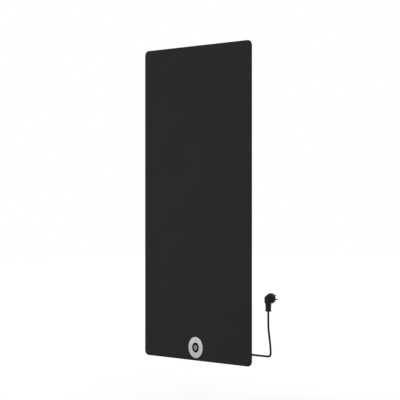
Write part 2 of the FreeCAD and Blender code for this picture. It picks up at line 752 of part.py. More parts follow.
def insulation_board():
    """Mineral wool board between the heating stack and the cover, with a pocket for the cut-out."""
    board = slab(2 * BOARD_HALF, 2 * BOARD_TOP, COVER_CORNER_R, Y_BOARD, Y_COVER_IN)
    board = board.makeFillet(COVER_BACK_ROUND, edges_at_y(board, Y_COVER_IN))
    bay = block((-PANEL_WIDTH, PANEL_WIDTH), (Y_BOARD - PAST, Y_COVER_IN + PAST), (-PANEL_HEIGHT, BAY_TOP))
    pocket_r = CUTOUT_FOOT_R + POCKET_GAP
    pocket_front = Y_COVER_IN - CUTOUT_TALL - CUTOUT_FOOT
    pocket = rod_y(pocket_r, POWER_BOARD_X, CUTOUT_Z, pocket_front, Y_COVER_IN + PAST)
    groove = block(centred(POWER_BOARD_X, GROOVE_WIDTH), (Y_COVER_IN - GROOVE_DEPTH, Y_COVER_IN + PAST),
                   (BAY_TOP - PAST, CUTOUT_Z))
    return board.cut([bay, pocket, groove])


def thermal_cutout():
    """A snap disc cut-out, seated in the board's pocket with its foot on the cover."""
    can = rod_y(CUTOUT_R, POWER_BOARD_X, CUTOUT_Z, Y_COVER_IN - CUTOUT_TALL, Y_COVER_IN - CUTOUT_FOOT)
    can = can.makeFillet(CUTOUT_FOOT / 2, edges_at_y(can, Y_COVER_IN - CUTOUT_TALL))
    foot = rod_y(CUTOUT_FOOT_R, POWER_BOARD_X, CUTOUT_Z, Y_COVER_IN - CUTOUT_FOOT, Y_COVER_IN)
    blades = []
    for side in (-1, 1):
        x = POWER_BOARD_X + side * CUTOUT_BLADE_X
        blades.append(block(centred(x, CUTOUT_BLADE_WIDTH), centred(Y_GROOVE, CUTOUT_BLADE),
                            (CUTOUT_Z - CUTOUT_R - CUTOUT_BLADE_OUT, CUTOUT_Z)))
    return joined([can, foot] + blades)


# Dial

def dial_ring():
    """The silver ring: a shallow cone with a rounded rim and a recess for the hub's flange."""
    recess_r = HUB_FLANGE_R
    profile = [
        (recess_r, Y_RING_BACK),
        (DIAL_R - DIAL_RIM_ROUND, Y_RING_BACK),
        (DIAL_R, Y_RING_BACK - DIAL_RIM_ROUND),
        (DIAL_R, Y_RING_RIM + DIAL_RIM_ROUND),
        (DIAL_R - DIAL_RIM_ROUND, Y_RING_RIM),
        (DIAL_BORE_R + DIAL_RIM_ROUND, Y_RING_BORE),
        (DIAL_BORE_R, Y_RING_BORE + DIAL_RIM_ROUND),
        (DIAL_BORE_R, Y_HUB_FRONT),
        (recess_r, Y_HUB_FRONT),
    ]
    return turned(profile, 0, DIAL_Z).cut(index_plug(PAST))


def ring_front(radius):
    """Depth place of the ring's sloping front at a radius."""
    share = (DIAL_R - DIAL_RIM_ROUND - radius) / (DIAL_R - DIAL_BORE_R - 2 * DIAL_RIM_ROUND)
    return Y_RING_RIM - DIAL_CROWN * share


def index_plug(past):
    """The round inlay that marks the dial's setting, or the cutter for its seat."""
    face = ring_front(INDEX_RADIUS)
    z = DIAL_Z + INDEX_RADIUS
    return rod_y(INDEX_R, 0, z, face - past, face + INDEX_DEPTH)


def dial_hub():
    """The plastic hub: a flange behind the ring and a sleeve that runs on the spindle."""
    flange = ring_y(HUB_FLANGE_R, HUB_BORE_R, 0, DIAL_Z, Y_HUB_FRONT, Y_RING_BACK)
    sleeve = ring_y(HUB_R, HUB_BORE_R, 0, DIAL_Z, Y_RING_BACK, Y_HUB_END)
    return joined([flange, sleeve])


def code_wheel():
    """A slotted wheel pressed on the hub, with the lug that meets the housing's stop."""
    wheel = ring_y(WHEEL_R, HUB_R, 0, DIAL_Z, Y_WHEEL, Y_WHEEL_BACK)
    slots = []
    for index in range(WHEEL_SLOTS):
        slot = block((WHEEL_R - WHEEL_SLOT_DEPTH, WHEEL_R + PAST), (Y_WHEEL - PAST, Y_WHEEL_BACK + PAST),
                     centred(DIAL_Z, WHEEL_SLOT_WIDTH))
        slot.rotate(V(0, 0, DIAL_Z), ALONG_Y, 360 * (index + 0.5) / WHEEL_SLOTS)
        slots.append(slot)
    lug = sector(STOP_INNER_R, STOP_INNER_R + STOP_WIDTH, 90, STOP_LUG_ANGLE,
                 Y_WHEEL_BACK, Y_BASE - STOP_HEIGHT / 2)
    return joined([wheel.cut(slots), lug])


def dial_spindle():
    """The fixed black face inside the ring, with the tube that the hub runs on."""
    profile = [
        (BEZEL_HOLE_R, Y_BEZEL),
        (BEZEL_R, Y_BEZEL),
        (BEZEL_R, Y_BEZEL_BACK),
        (SPINDLE_R, Y_BEZEL_BACK),
        (SPINDLE_R, Y_BASE),
        (SPINDLE_SEAT_R, Y_BASE),
        (SPINDLE_SEAT_R, Y_SEAT),
        (SPINDLE_BORE_R, Y_SEAT),
        (SPINDLE_BORE_R, Y_BEZEL_BACK),
        (BEZEL_HOLE_R, Y_BEZEL_BACK),
    ]
    holes = []
    for x, z in spindle_screw_places():
        holes.append(rod_y(SCREW_R, x, z, Y_BASE - SPINDLE_SCREW_DEPTH, Y_BASE + PAST))
    return turned(profile, 0, DIAL_Z).cut(holes)


def friction_washer():
    """A felt washer between the hub's end and the housing."""
    return ring_y(HUB_R, SPINDLE_R + HOLE_GAP, 0, DIAL_Z, Y_BASE - WASHER, Y_BASE)


def slot_sensor():
    """A forked light gate round the wheel's rim, standing on the control board."""
    x_span = (SENSOR_INNER_R, SENSOR_OUTER_R)
    z_span = centred(DIAL_Z, SENSOR_WIDTH)
    front = Y_WHEEL - SENSOR_GAP - SENSOR_LEG
    body = block(x_span, (front, Y_CONTROL), z_span)
    fork = block((SENSOR_INNER_R - PAST, SENSOR_OUTER_R - SENSOR_WEB),
                 (Y_WHEEL - SENSOR_GAP, Y_WHEEL_BACK + SENSOR_GAP),
                 (z_span[0] - PAST, z_span[1] + PAST))
    return body.cut(fork)


def control_housing():
    """The moulded cup behind the panel, with flange, base, stand-offs and the dial's stop."""
    flange = slab(HOUSING_FLANGE_WIDTH, HOUSING_FLANGE_HEIGHT, HOUSING_CORNER_R,
                  Y_SHEET_IN, Y_SHEET_IN + HOUSING_FLANGE, 0, DIAL_Z)
    cup = rod_y(CUP_OUTER_R, 0, DIAL_Z, Y_SHEET_IN, Y_BASE_BACK)
    base = slab(HOUSING_BASE_WIDTH, HOUSING_BASE_HEIGHT, HOUSING_CORNER_R, Y_BASE, Y_BASE_BACK, 0, DIAL_Z)
    solids = [flange, cup, base]
    cutters = []
    for x, z in standoff_places():
        solids.append(rod_y(STANDOFF_R, x, z, Y_BASE_BACK, Y_CONTROL))
        cutters.append(rod_y(SCREW_R, x, z, Y_BASE + HOUSING_BASE / 2, Y_CONTROL + PAST))
    for x, z in stud_places():
        cutters.append(rod_y(STUD_R + HOLE_GAP, x, z, Y_SHEET_IN - PAST, Y_SHEET_IN + HOUSING_FLANGE + PAST))
    for x, z in spindle_screw_places():
        cutters.append(rod_y(SCREW_R + HOLE_GAP, x, z, Y_BASE - PAST, Y_BASE_BACK + PAST))
    through = (Y_BASE - PAST, Y_BASE_BACK + PAST)
    side = SWITCH_SIDE + 2 * HOLE_GAP
    cutters.append(block(centred(0, side), through, centred(DIAL_Z, side)))
    cutters.append(block((SENSOR_INNER_R - HOLE_GAP, SENSOR_OUTER_R + HOLE_GAP), through,
                         centred(DIAL_Z, SENSOR_WIDTH + 2 * HOLE_GAP)))
    cutters.append(rod_y(CUP_R, 0, DIAL_Z, Y_SHEET_IN - PAST, Y_BASE))
    shell = joined(solids).cut(cutters)
    stop = sector(STOP_INNER_R, STOP_INNER_R + STOP_WIDTH, 270, STOP_BLOCK_ANGLE,
                  Y_BASE - STOP_HEIGHT, Y_BASE)
    return joined([shell, stop])


def panel_studs():
    """Studs welded to the back of the front sheet."""
    end = Y_SHEET_IN + STUD_LENGTH
    return Part.makeCompound([rod_y(STUD_R, x, z, Y_SHEET_IN, end) for x, z in stud_places()])


def hex_nut(x, z, y_start, bore):
    """A plain hexagon nut along Y."""
    corner_r = NUT_FLATS / math.sqrt(3)
    corners = []
    for index in range(6):
        angle = math.radians(60 * index)
        corners.append(V(x + corner_r * math.cos(angle), y_start, z + corner_r * math.sin(angle)))
    nut = polygon_face(corners).extrude(V(0, NUT_HEIGHT, 0))
    return nut.cut(rod_y(bore, x, z, y_start - PAST, y_start + NUT_HEIGHT + PAST))


def housing_nuts():
    """Nuts that clamp the housing's flange to the front sheet."""
    return Part.makeCompound([hex_nut(x, z, Y_SHEET_IN + HOUSING_FLANGE, STUD_R) for x, z in stud_places()])


def back_screw(x, z, seat, tip):
    """A small screw driven from behind, its head seated at one place and its tip at another."""
    head = rod_y(SCREW_HEAD_R, x, z, seat, seat + SCREW_HEAD)
    return head.fuse(rod_y(SCREW_R, x, z, tip, seat))


def spindle_screws():
    """Screws that draw the spindle against the housing's base."""
    screws = []
    for x, z in spindle_screw_places():
        screws.append(back_screw(x, z, Y_BASE_BACK, Y_BASE - SPINDLE_SCREW_DEPTH))
    return Part.makeCompound(screws)


def control_board():
    """The circuit board behind the dial, with its connector."""
    board = slab(HOUSING_BASE_WIDTH, HOUSING_BASE_HEIGHT, HOUSING_CORNER_R,
                 Y_CONTROL, Y_CONTROL_BACK, 0, DIAL_Z)
    holes = []
    for x, z in standoff_places():
        holes.append(rod_y(SCREW_R + HOLE_GAP, x, z, Y_CONTROL - PAST, Y_CONTROL_BACK + PAST))
    connector = block(centred(0, CONNECTOR_WIDTH), (Y_CONTROL_BACK, Y_CONTROL_BACK + CONNECTOR_HEIGHT),
                      centred(DIAL_Z, CONNECTOR_DEPTH))
    return joined([board.cut(holes), connector])


def board_screws():
    """Screws that hold the control board to its stand-offs."""
    screws = []
    for x, z in standoff_places():
        screws.append(back_screw(x, z, Y_CONTROL_BACK, Y_BASE + HOUSING_BASE / 2))
    return Part.makeCompound(screws)


# Push button

def push_button():
    """The grey cap with a flange that the bezel retains, and a stem to the switch."""
    front = Y_RING_BORE - BUTTON_PROUD
    profile = [
        (0, front),
        (BUTTON_R - BUTTON_ROUND, front),
        (BUTTON_R, front + BUTTON_ROUND),
        (BUTTON_R, Y_BEZEL_BACK),
        (BUTTON_LIP_R, Y_BEZEL_BACK),
        (BUTTON_LIP_R, Y_FLANGE_END),
        (STEM_R, Y_FLANGE_END),
        (STEM_R, Y_PLUNGER),
        (0, Y_PLUNGER),
    ]
    return turned(profile, 0, DIAL_Z)


def return_dome():
    """A silicone skirt that pushes the button back, from the spindle's seat to the button's flange."""
    profile = [
        (DOME_TOP_R - DOME_WALL, Y_FLANGE_END),
        (DOME_TOP_R, Y_FLANGE_END),
        (DOME_FOOT_R, Y_SEAT),
        (DOME_FOOT_R - DOME_WALL, Y_SEAT),
    ]
    return turned(profile, 0, DIAL_Z)


def switch_plunger():
    """The plunger of the push switch, which moves with the button."""
    return rod_y(PLUNGER_R, 0, DIAL_Z, Y_PLUNGER, Y_SWITCH + PLUNGER_IN)


def push_switch():
    """The switch body on the control board, with a well for its plunger."""
    body = block(centred(0, SWITCH_SIDE), (Y_SWITCH, Y_CONTROL), centred(DIAL_Z, SWITCH_SIDE))
    well_end = Y_SWITCH + PLUNGER_IN + BUTTON_TRAVEL + HOLE_GAP
    return body.cut(rod_y(PLUNGER_R + HOLE_GAP, 0, DIAL_Z, Y_SWITCH - PAST, well_end))


# Power side

def power_board():
    """The power circuit board on posts, with its terminal blocks and fuse clips."""
    x_span = centred(POWER_BOARD_X, POWER_BOARD_WIDTH)
    z_span = centred(POWER_BOARD_Z, POWER_BOARD_HEIGHT)
    solids = [block(x_span, (Y_POWER, Y_POWER_BACK), z_span)]
    for x, z in power_post_places():
        solids.append(rod_y(POWER_POST_R, x, z, Y_POWER_BACK, Y_COVER_IN))
    tall = (Y_POWER - PLUG_BLOCK_TALL, Y_POWER)
    supply_z = (CORD_Z - TERMINAL_PITCH * 1.5, CORD_Z + TERMINAL_PITCH / 2)
    solids.append(block((x_span[1] - PLUG_BLOCK, x_span[1]), tall, supply_z))
    solids.append(block(centred(POWER_BOARD_X, 2 * GROOVE_WIDTH), tall, (z_span[1] - PLUG_BLOCK, z_span[1])))
    for side in (-1, 1):
        x = fuse_x() + side * (FUSE_LENGTH - FUSE_CAP) / 2
        clip_y = (Y_POWER - FUSE_RISE + FUSE_R, Y_POWER)
        solids.append(block(centred(x, FUSE_CLIP), clip_y, centred(POWER_BOARD_Z, 2 * FUSE_R)))
    return joined(solids)


def fuse_x():
    """The fuse lies between the relay and the supply terminals."""
    return POWER_BOARD_X + PLUG_BLOCK


def relay():
    """The relay that switches the heating track."""
    x = POWER_BOARD_X - POWER_BOARD_WIDTH / 2 + RELAY_WIDTH
    depth = (Y_POWER - RELAY_TALL, Y_POWER)
    return block(centred(x, RELAY_WIDTH), depth, centred(POWER_BOARD_Z, RELAY_HEIGHT))


def fuse():
    """A cartridge fuse with raised end caps, lying in the board's clips."""
    y = Y_POWER - FUSE_RISE
    half = FUSE_LENGTH / 2
    profile = [
        (fuse_x() - half, 0),
        (fuse_x() - half, FUSE_R),
        (fuse_x() - half + FUSE_CAP, FUSE_R),
        (fuse_x() - half + FUSE_CAP, FUSE_R - HOLE_GAP),
        (fuse_x() + half - FUSE_CAP, FUSE_R - HOLE_GAP),
        (fuse_x() + half - FUSE_CAP, FUSE_R),
        (fuse_x() + half, FUSE_R),
        (fuse_x() + half, 0),
    ]
    return turned_x(profile, y, POWER_BOARD_Z)


def terminal_block():
    """Three mains terminals, with a wire way through each and a screw well above it."""
    body = block((TERMINAL_LEFT, TERMINAL_RIGHT), (Y_COVER_IN - TERMINAL_TALL, Y_COVER_IN),
                 centred(CORD_Z, 3 * TERMINAL_PITCH + 2 * LEAD_R))
    cutters = []
    for z in terminal_heights():
        way = (V(TERMINAL_LEFT - PAST, Y_CORD, z), V(TERMINAL_RIGHT + PAST, Y_CORD, z))
        cutters.append(rod(LEAD_R + LEAD_GAP, way[0], way[1]))
        cutters.append(rod_y(TERMINAL_SCREW_R, TERMINAL_X, z, Y_COVER_IN - TERMINAL_TALL - PAST,
                             Y_COVER_IN - TERMINAL_TALL + TERMINAL_WELL))
    return body.cut(cutters)


def terminal_screws():
    """Clamp screws sunk in the terminal block's wells."""
    screws = []
    for z in terminal_heights():
        bottom = Y_COVER_IN - TERMINAL_TALL + TERMINAL_WELL
        screws.append(rod_y(TERMINAL_SCREW_R, TERMINAL_X, z, bottom - TERMINAL_SCREW, bottom))
    return Part.makeCompound(screws)


def cord_cores():
    """The three cores from the cord's sheath to the terminals."""
    step = CORE_RUN / 3
    end_x = TERMINAL_RIGHT - LEAD_R
    cores = [rod(CORE_R, V(end_x, Y_CORD, CORD_Z), V(TAIL_END_X, Y_CORD, CORD_Z))]
    for side in (-1, 1):
        start_z = CORD_Z + side * CORE_SPREAD
        z = CORD_Z + side * TERMINAL_PITCH
        points = [
            V(TAIL_END_X, Y_CORD, start_z),
            V(TAIL_END_X - step, Y_CORD, start_z),
            V(TERMINAL_RIGHT + step, Y_CORD, z),
            V(end_x, Y_CORD, z),
        ]
        cores.append(lead(points, CORE_R))
    return Part.makeCompound(cores)


def supply_leads():
    """Neutral and live, from the terminal block to the power board."""
    end_x = POWER_BOARD_RIGHT
    end_y = Y_POWER - PLUG_BLOCK_TALL / 2
    step = SUPPLY_RUN / 3
    leads = []
    for z in terminal_heights()[1:]:
        points = [
            V(TERMINAL_LEFT + LEAD_R, Y_CORD, z),
            V(TERMINAL_LEFT - step, Y_CORD, z),
            V(end_x + step, end_y, z + LEAD_R),
            V(end_x, end_y, z + LEAD_R),
        ]
        leads.append(lead(points, LEAD_R))
    return Part.makeCompound(leads)


def earth_place():
    """The earth stud, above the terminal block's left side."""
    return (TERMINAL_LEFT - 2 * EARTH_LUG_R, BAY_TOP - 6 * EARTH_LUG_R)


def earth_stud():
    """A stud welded to the cover, with its nut."""
    x, z = earth_place()
    stud = rod_y(EARTH_STUD_R, x, z, Y_COVER_IN - EARTH_STUD_LENGTH, Y_COVER_IN)
    return Part.makeCompound([stud, hex_nut(x, z, Y_COVER_IN - EARTH_LUG - NUT_HEIGHT, EARTH_STUD_R)])


def earth_lead():
    """The earth wire from the terminal block, with a ring lug under the stud's nut."""
    x, z = earth_place()
    start_z = terminal_heights()[0]
    lug = ring_y(EARTH_LUG_R, EARTH_STUD_R, x, z, Y_COVER_IN - EARTH_LUG, Y_COVER_IN)
    end_y = Y_COVER_IN - LEAD_R
    end_z = z - EARTH_LUG_R
    middle_z = (start_z + end_z) / 2
    points = [
        V(TERMINAL_LEFT + LEAD_R, Y_CORD, start_z),
        V(x, Y_CORD, start_z),
        V(x, Y_CORD, middle_z),
        V(x, end_y, end_z - EARTH_LUG_R),
        V(x, end_y, end_z),
    ]
    return Part.makeCompound([lug, lead(points, LEAD_R)])


def neutral_lead():
    """From the power board's top block along the bay to the left tab of the track."""
    x = POWER_BOARD_X - GROOVE_WIDTH / 2
    top = POWER_BOARD_Z + POWER_BOARD_HEIGHT / 2
    y = Y_POWER - PLUG_BLOCK_TALL / 2
    turn_z = BAY_TOP - TRACK_TAB / 2
    points = [
        V(x, y, top),
        V(x, y, turn_z),
        V(-TRACK_TAB_X, y, turn_z),
        V(-TRACK_TAB_X, Y_TRACK_BACK, turn_z),
    ]
    return lead(points, LEAD_R)


def live_lead():
    """From the power board's top block up the groove to the thermal cut-out."""
    x = POWER_BOARD_X - CUTOUT_BLADE_X
    top = POWER_BOARD_Z + POWER_BOARD_HEIGHT / 2
    start_y = Y_POWER - PLUG_BLOCK_TALL / 2
    points = [
        V(x, start_y, top),
        V(x, start_y, (top + BAY_TOP) / 2),
        V(x, Y_GROOVE, BAY_TOP),
        V(x, Y_GROOVE, CUTOUT_Z - CUTOUT_R - CUTOUT_BLADE_OUT),
    ]
    return lead(points, LEAD_R)


def switched_lead():
    """From the thermal cut-out down the groove to the right tab of the track."""
    x = POWER_BOARD_X + CUTOUT_BLADE_X
    turn_z = BAY_TOP - TRACK_TAB / 2
    points = [
        V(x, Y_GROOVE, CUTOUT_Z - CUTOUT_R - CUTOUT_BLADE_OUT),
        V(x, Y_GROOVE, turn_z),
        V(TRACK_TAB_X, Y_GROOVE, turn_z),
        V(TRACK_TAB_X, Y_TRACK_BACK, turn_z),
    ]
    return lead(points, LEAD_R)


def ribbon():
    """The flat cable from the control board's connector to the power board."""
    x = (CONNECTOR_WIDTH / 2, POWER_BOARD_RIGHT - POWER_BOARD_WIDTH)
    y = centred(Y_CONTROL_BACK + CONNECTOR_HEIGHT / 2, RIBBON_SHEET)
    return block(x, y, centred(DIAL_Z, RIBBON_WIDTH))


def room_sensor():
    """The room temperature sensor in the cover's lower wall."""
    x = SENSOR_BULB_X
    tip = BAY_FLOOR - COVER_SHEET - SENSOR_BULB_OUT
    bulb = rod(SENSOR_BULB_R, V(x, Y_CORD, tip), V(x, Y_CORD, BAY_FLOOR))
    flange = rod(SENSOR_BULB_FLANGE_R, V(x, Y_CORD, BAY_FLOOR), V(x, Y_CORD, BAY_FLOOR + COVER_SHEET))
    body = rod(SENSOR_BULB_R, V(x, Y_CORD, BAY_FLOOR), V(x, Y_CORD, BAY_FLOOR + SENSOR_BULB_IN))
    return joined([bulb, flange, body])


def sensor_lead():
    """The wire from the room sensor to the control board's edge."""
    y = (Y_CONTROL + Y_CONTROL_BACK) / 2
    end_x = -HOUSING_BASE_WIDTH / 2
    start_z = BAY_FLOOR + SENSOR_BULB_IN
    points = [
        V(SENSOR_BULB_X, Y_CORD, start_z),
        V(SENSOR_BULB_X, Y_CORD, DIAL_Z),
        V((SENSOR_BULB_X + end_x) / 2, y, DIAL_Z),
        V(end_x, y, DIAL_Z),
    ]
    return lead(points, LEAD_R / 2)


# Cord and plug

def cord_gland():
    """A moulded gland in the cover's side wall, with a ribbed taper that eases the cord's bend."""
    inside = COVER_RIGHT - COVER_SHEET
    outside = COVER_RIGHT + GLAND_COLLAR
    profile = [
        (inside - GLAND_COLLAR, CORD_R + CORD_BORE_GAP),
        (inside - GLAND_COLLAR, GLAND_INNER_R),
        (inside, GLAND_INNER_R),
        (inside, GLAND_NECK_R),
        (COVER_RIGHT, GLAND_NECK_R),
        (COVER_RIGHT, GLAND_COLLAR_R),
        (outside, GLAND_COLLAR_R),
    ]
    pitch = (GLAND_END_X - outside) / GLAND_RIBS
    for rib in range(GLAND_RIBS):
        start = outside + rib * pitch
        radius = GLAND_COLLAR_R - (GLAND_COLLAR_R - GLAND_TIP_R) * (rib + 1) / GLAND_RIBS
        profile.append((start, radius - GLAND_RIB_DEPTH))
        profile.append((start + pitch / 3, radius - GLAND_RIB_DEPTH))
        profile.append((start + pitch / 3, radius))
        profile.append((start + pitch, radius))
    profile.append((GLAND_END_X, CORD_R + CORD_BORE_GAP))
    return turned_x(profile, Y_CORD, CORD_Z)


def cord_tail():
    """The sheathed end of the cord inside the casing and the gland."""
    return rod(CORD_R, V(TAIL_END_X, Y_CORD, CORD_Z), V(GLAND_END_X, Y_CORD, CORD_Z))


def cord_clamp():
    """A saddle on the cover that grips the cord's sheath."""
    x = (TAIL_END_X + COVER_RIGHT - COVER_SHEET - GLAND_COLLAR) / 2
    front = Y_CORD - CORD_R - CLAMP_WALL
    saddle = block(centred(x, CLAMP_WIDTH), (front, Y_COVER_IN), centred(CORD_Z, CLAMP_SPAN))
    grip_r = CORD_R + CORD_BORE_GAP
    bore = rod(grip_r, V(x - CLAMP_WIDTH, Y_CORD, CORD_Z), V(x + CLAMP_WIDTH, Y_CORD, CORD_Z))
    mouth = block(centred(x, 2 * CLAMP_WIDTH), (Y_CORD, Y_COVER_IN + PAST), centred(CORD_Z, 2 * grip_r))
    return saddle.cut([bore, mouth])


def cord_points():
    """The cord's way from the gland, round a tight bend, and up to the plug."""
    arm_y = -PLUG_ARM_Y
    drop = arm_y - Y_CORD
    end_z = PLUG_Z - PLUG_ARM_LENGTH
    return [
        V(GLAND_END_X, Y_CORD, CORD_Z),
        V(PANEL_RIGHT + 14.0, Y_CORD, CORD_Z),
        V(PANEL_RIGHT + 56.0, Y_CORD + 0.15 * drop, CORD_Z - 0.2),
        V(PANEL_RIGHT + 77.5, Y_CORD + 0.25 * drop, CORD_Z + 0.2),
        V(PANEL_RIGHT + 84.4, Y_CORD + 0.35 * drop, CORD_Z + 7.4),
        V(PANEL_RIGHT + 83.6, Y_CORD + 0.5 * drop, CORD_Z + 27.0),
        V(PANEL_RIGHT + 76.8, Y_CORD + 0.72 * drop, CORD_Z + 60.0),
        V(PLUG_X + 0.7, Y_CORD + 0.92 * drop, end_z - 61.0),
        V(PLUG_X, arm_y, end_z - 29.5),
        V(PLUG_X, arm_y, end_z),
    ]


def power_cord():
    """The free length of the mains cord."""
    points = cord_points()
    path, radii = lead_path(points)
    solid = lead(points, CORD_R, math.inf)
    print("cord bend radii", [round(radius, 1) for radius in radii])
    print("cord length", round(path.Length, 1))
    section = math.pi * CORD_R ** 2
    print("cord volume against section times length", round(solid.Volume / (section * path.Length), 4))
    return solid


def arm_section(width, depth, z):
    """The rounded section of the plug's arm at a height."""
    return rounded_wire(width, depth, PLUG_ARM_ROUND, lambda a, b: V(PLUG_X + a, -PLUG_ARM_Y + b, z))


def plug_arm():
    """The grip that leads the cord down from the plug's head, with a flared end."""
    end_z = PLUG_Z - PLUG_ARM_LENGTH
    waist = PLUG_ARM_WIDTH - PLUG_ARM_TAPER
    waist_depth = PLUG_ARM_DEPTH - PLUG_ARM_TAPER
    flare_width = waist + PLUG_COLLAR_STEP
    flare_depth = waist_depth + PLUG_COLLAR_STEP
    grip = Part.makeLoft([
        arm_section(PLUG_ARM_WIDTH, PLUG_ARM_DEPTH, PLUG_Z),
        arm_section(waist, waist_depth, end_z + 2 * PLUG_COLLAR),
    ], True, True)
    flare = Part.makeLoft([
        arm_section(waist, waist_depth, end_z + 2 * PLUG_COLLAR),
        arm_section(flare_width, flare_depth, end_z + PLUG_COLLAR),
    ], True, True)
    collar = Part.Face(arm_section(flare_width, flare_depth, end_z)).extrude(V(0, 0, PLUG_COLLAR))
    return joined([grip, flare, collar])


def plug_head():
    """The round head, cut back by sloping faces above and at both sides."""
    head = rod_y(PLUG_HEAD_R, PLUG_X, PLUG_Z, -PLUG_DEPTH, 0)
    head = head.makeFillet(PLUG_EDGE_ROUND, edges_at_y(head, 0))
    past_r = PLUG_HEAD_R + PAST
    side_view = polygon_face([
        V(PLUG_X - past_r, 0, PLUG_Z - past_r),
        V(PLUG_X - past_r, 0, PLUG_Z + past_r),
        V(PLUG_X - past_r, -PLUG_DISC, PLUG_Z + PLUG_HEAD_R),
        V(PLUG_X - past_r, -PLUG_DEPTH, PLUG_Z + PLUG_BACK_TOP),
        V(PLUG_X - past_r, -PLUG_DEPTH, PLUG_Z - past_r),
    ]).extrude(V(2 * past_r, 0, 0))
    top_view = polygon_face([
        V(PLUG_X - past_r, 0, PLUG_Z - past_r),
        V(PLUG_X - PLUG_HEAD_R, -PLUG_DISC, PLUG_Z - past_r),
        V(PLUG_X - PLUG_BACK_HALF, -PLUG_DEPTH, PLUG_Z - past_r),
        V(PLUG_X + PLUG_BACK_HALF, -PLUG_DEPTH, PLUG_Z - past_r),
        V(PLUG_X + PLUG_HEAD_R, -PLUG_DISC, PLUG_Z - past_r),
        V(PLUG_X + past_r, 0, PLUG_Z - past_r),
    ]).extrude(V(0, 0, 2 * past_r))
    head = head.common(side_view).common(top_view)
    return head.makeFillet(PLUG_BACK_ROUND, edges_before(head, -PLUG_DISC))


def pin_places():
    """Each pin's X, Z and length: the two contacts, and the longer earth pin above them."""
    contacts = [(PLUG_X + side * PIN_PITCH / 2, PLUG_Z - PIN_DROP, PIN_OUT) for side in (-1, 1)]
    return contacts + [(PLUG_X, EARTH_PIN_Z, EARTH_PIN_OUT)]


def plug_body():
    """The moulded plug body, with bores for the pins and a pocket for the earth clips."""
    pocket_y = (-PIN_IN, -CLIP_INSET)
    cutters = [block(centred(PLUG_X, CLIP_WIDTH), pocket_y, centred(EARTH_PIN_Z, CLIP_WIDTH))]
    for x, z, _ in pin_places():
        cutters.append(rod_y(PIN_SHANK_R, x, z, -PIN_IN, PAST))
    return joined([plug_head(), plug_arm()]).cut(cutters)


def plug_pins():
    """Round pins with rounded tips, on thinner shanks held in the body."""
    pins = []
    for x, z, out in pin_places():
        pin = rod_y(PIN_R, x, z, 0, out)
        pin = pin.makeFillet(PIN_TIP_ROUND, edges_at_y(pin, out))
        pins.append(pin.fuse(rod_y(PIN_SHANK_R, x, z, -PIN_IN, 0)))
    return Part.makeCompound(pins)


def plug_earth_clips():
    """Two forked clips inside the moulding that hold the earth core to the earth pin's shank."""
    clips = []
    fork_span = (EARTH_PIN_Z - PIN_SHANK_R, EARTH_PIN_Z + CLIP_WIDTH)
    for y in (-PIN_IN, -CLIP_INSET - CLIP_LENGTH):
        y_span = (y, y + CLIP_LENGTH)
        clip = block(centred(PLUG_X, CLIP_WIDTH), y_span, centred(EARTH_PIN_Z, CLIP_WIDTH))
        clips.append(clip.cut(block(centred(PLUG_X, 2 * PIN_SHANK_R), y_span, fork_span)))
    return Part.makeCompound(clips)


def build():
    """Every node of the part, by name."""
    lower, upper = fixing_heights()
    return {
        "front_panel": front_panel(),
        "rear_cover": rear_cover(),
        "cover_screws": cover_screws(),
        "wall_rail_upper": wall_rail(upper),
        "wall_rail_lower": wall_rail(lower),
        "hanger_upper": hanger(upper),
        "hanger_lower": hanger(lower),
        "hanger_rivets": hanger_rivets(),
        "front_mica": mica_layer(Y_SHEET_IN),
        "heating_track": heating_track(),
        "rear_mica": mica_layer(Y_TRACK_BACK),
        "insulation_board": insulation_board(),
        "thermal_cutout": thermal_cutout(),
        "dial_ring": dial_ring(),
        "dial_index": index_plug(0),
        "dial_hub": dial_hub(),
        "code_wheel": code_wheel(),
        "dial_spindle": dial_spindle(),
        "friction_washer": friction_washer(),
        "slot_sensor": slot_sensor(),
        "control_housing": control_housing(),
        "panel_studs": panel_studs(),
        "housing_nuts": housing_nuts(),
        "spindle_screws": spindle_screws(),
        "control_board": control_board(),
        "board_screws": board_screws(),
        "push_button": push_button(),
        "return_dome": return_dome(),
        "switch_plunger": switch_plunger(),
        "push_switch": push_switch(),
        "power_board": power_board(),
        "relay": relay(),
        "fuse": fuse(),
        "terminal_block": terminal_block(),
        "terminal_screws": terminal_screws(),
        "cord_cores": cord_cores(),
        "supply_leads": supply_leads(),
        "earth_stud": earth_stud(),
        "earth_lead": earth_lead(),
        "neutral_lead": neutral_lead(),
        "live_lead": live_lead(),
        "switched_lead": switched_lead(),
        "ribbon": ribbon(),
        "room_sensor": room_sensor(),
        "sensor_lead": sensor_lead(),
        "cord_gland": cord_gland(),
        "cord_tail": cord_tail(),
        "cord_clamp": cord_clamp(),
        "power_cord": power_cord(),
        "plug_body": plug_body(),
        "plug_pins": plug_pins(),
        "plug_earth_clips": plug_earth_clips(),
    }


def main():
    """Write one file for each node."""
    os.makedirs("parts", exist_ok=True)
    for name, shape in build().items():
        shape.exportStep("parts/" + name + ".step")


main()
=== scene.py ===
"""Looks of a flat wall panel heater with a ring dial: camera, studio, modelled pieces and finishes."""

import json
import logging
import math
from collections.abc import Iterable, Mapping
from dataclasses import dataclass
from enum import Enum

import bmesh
import bpy
from bmesh.types import BMEdge, BMesh, BMFace, BMVert
from mathutils import Matrix, Vector

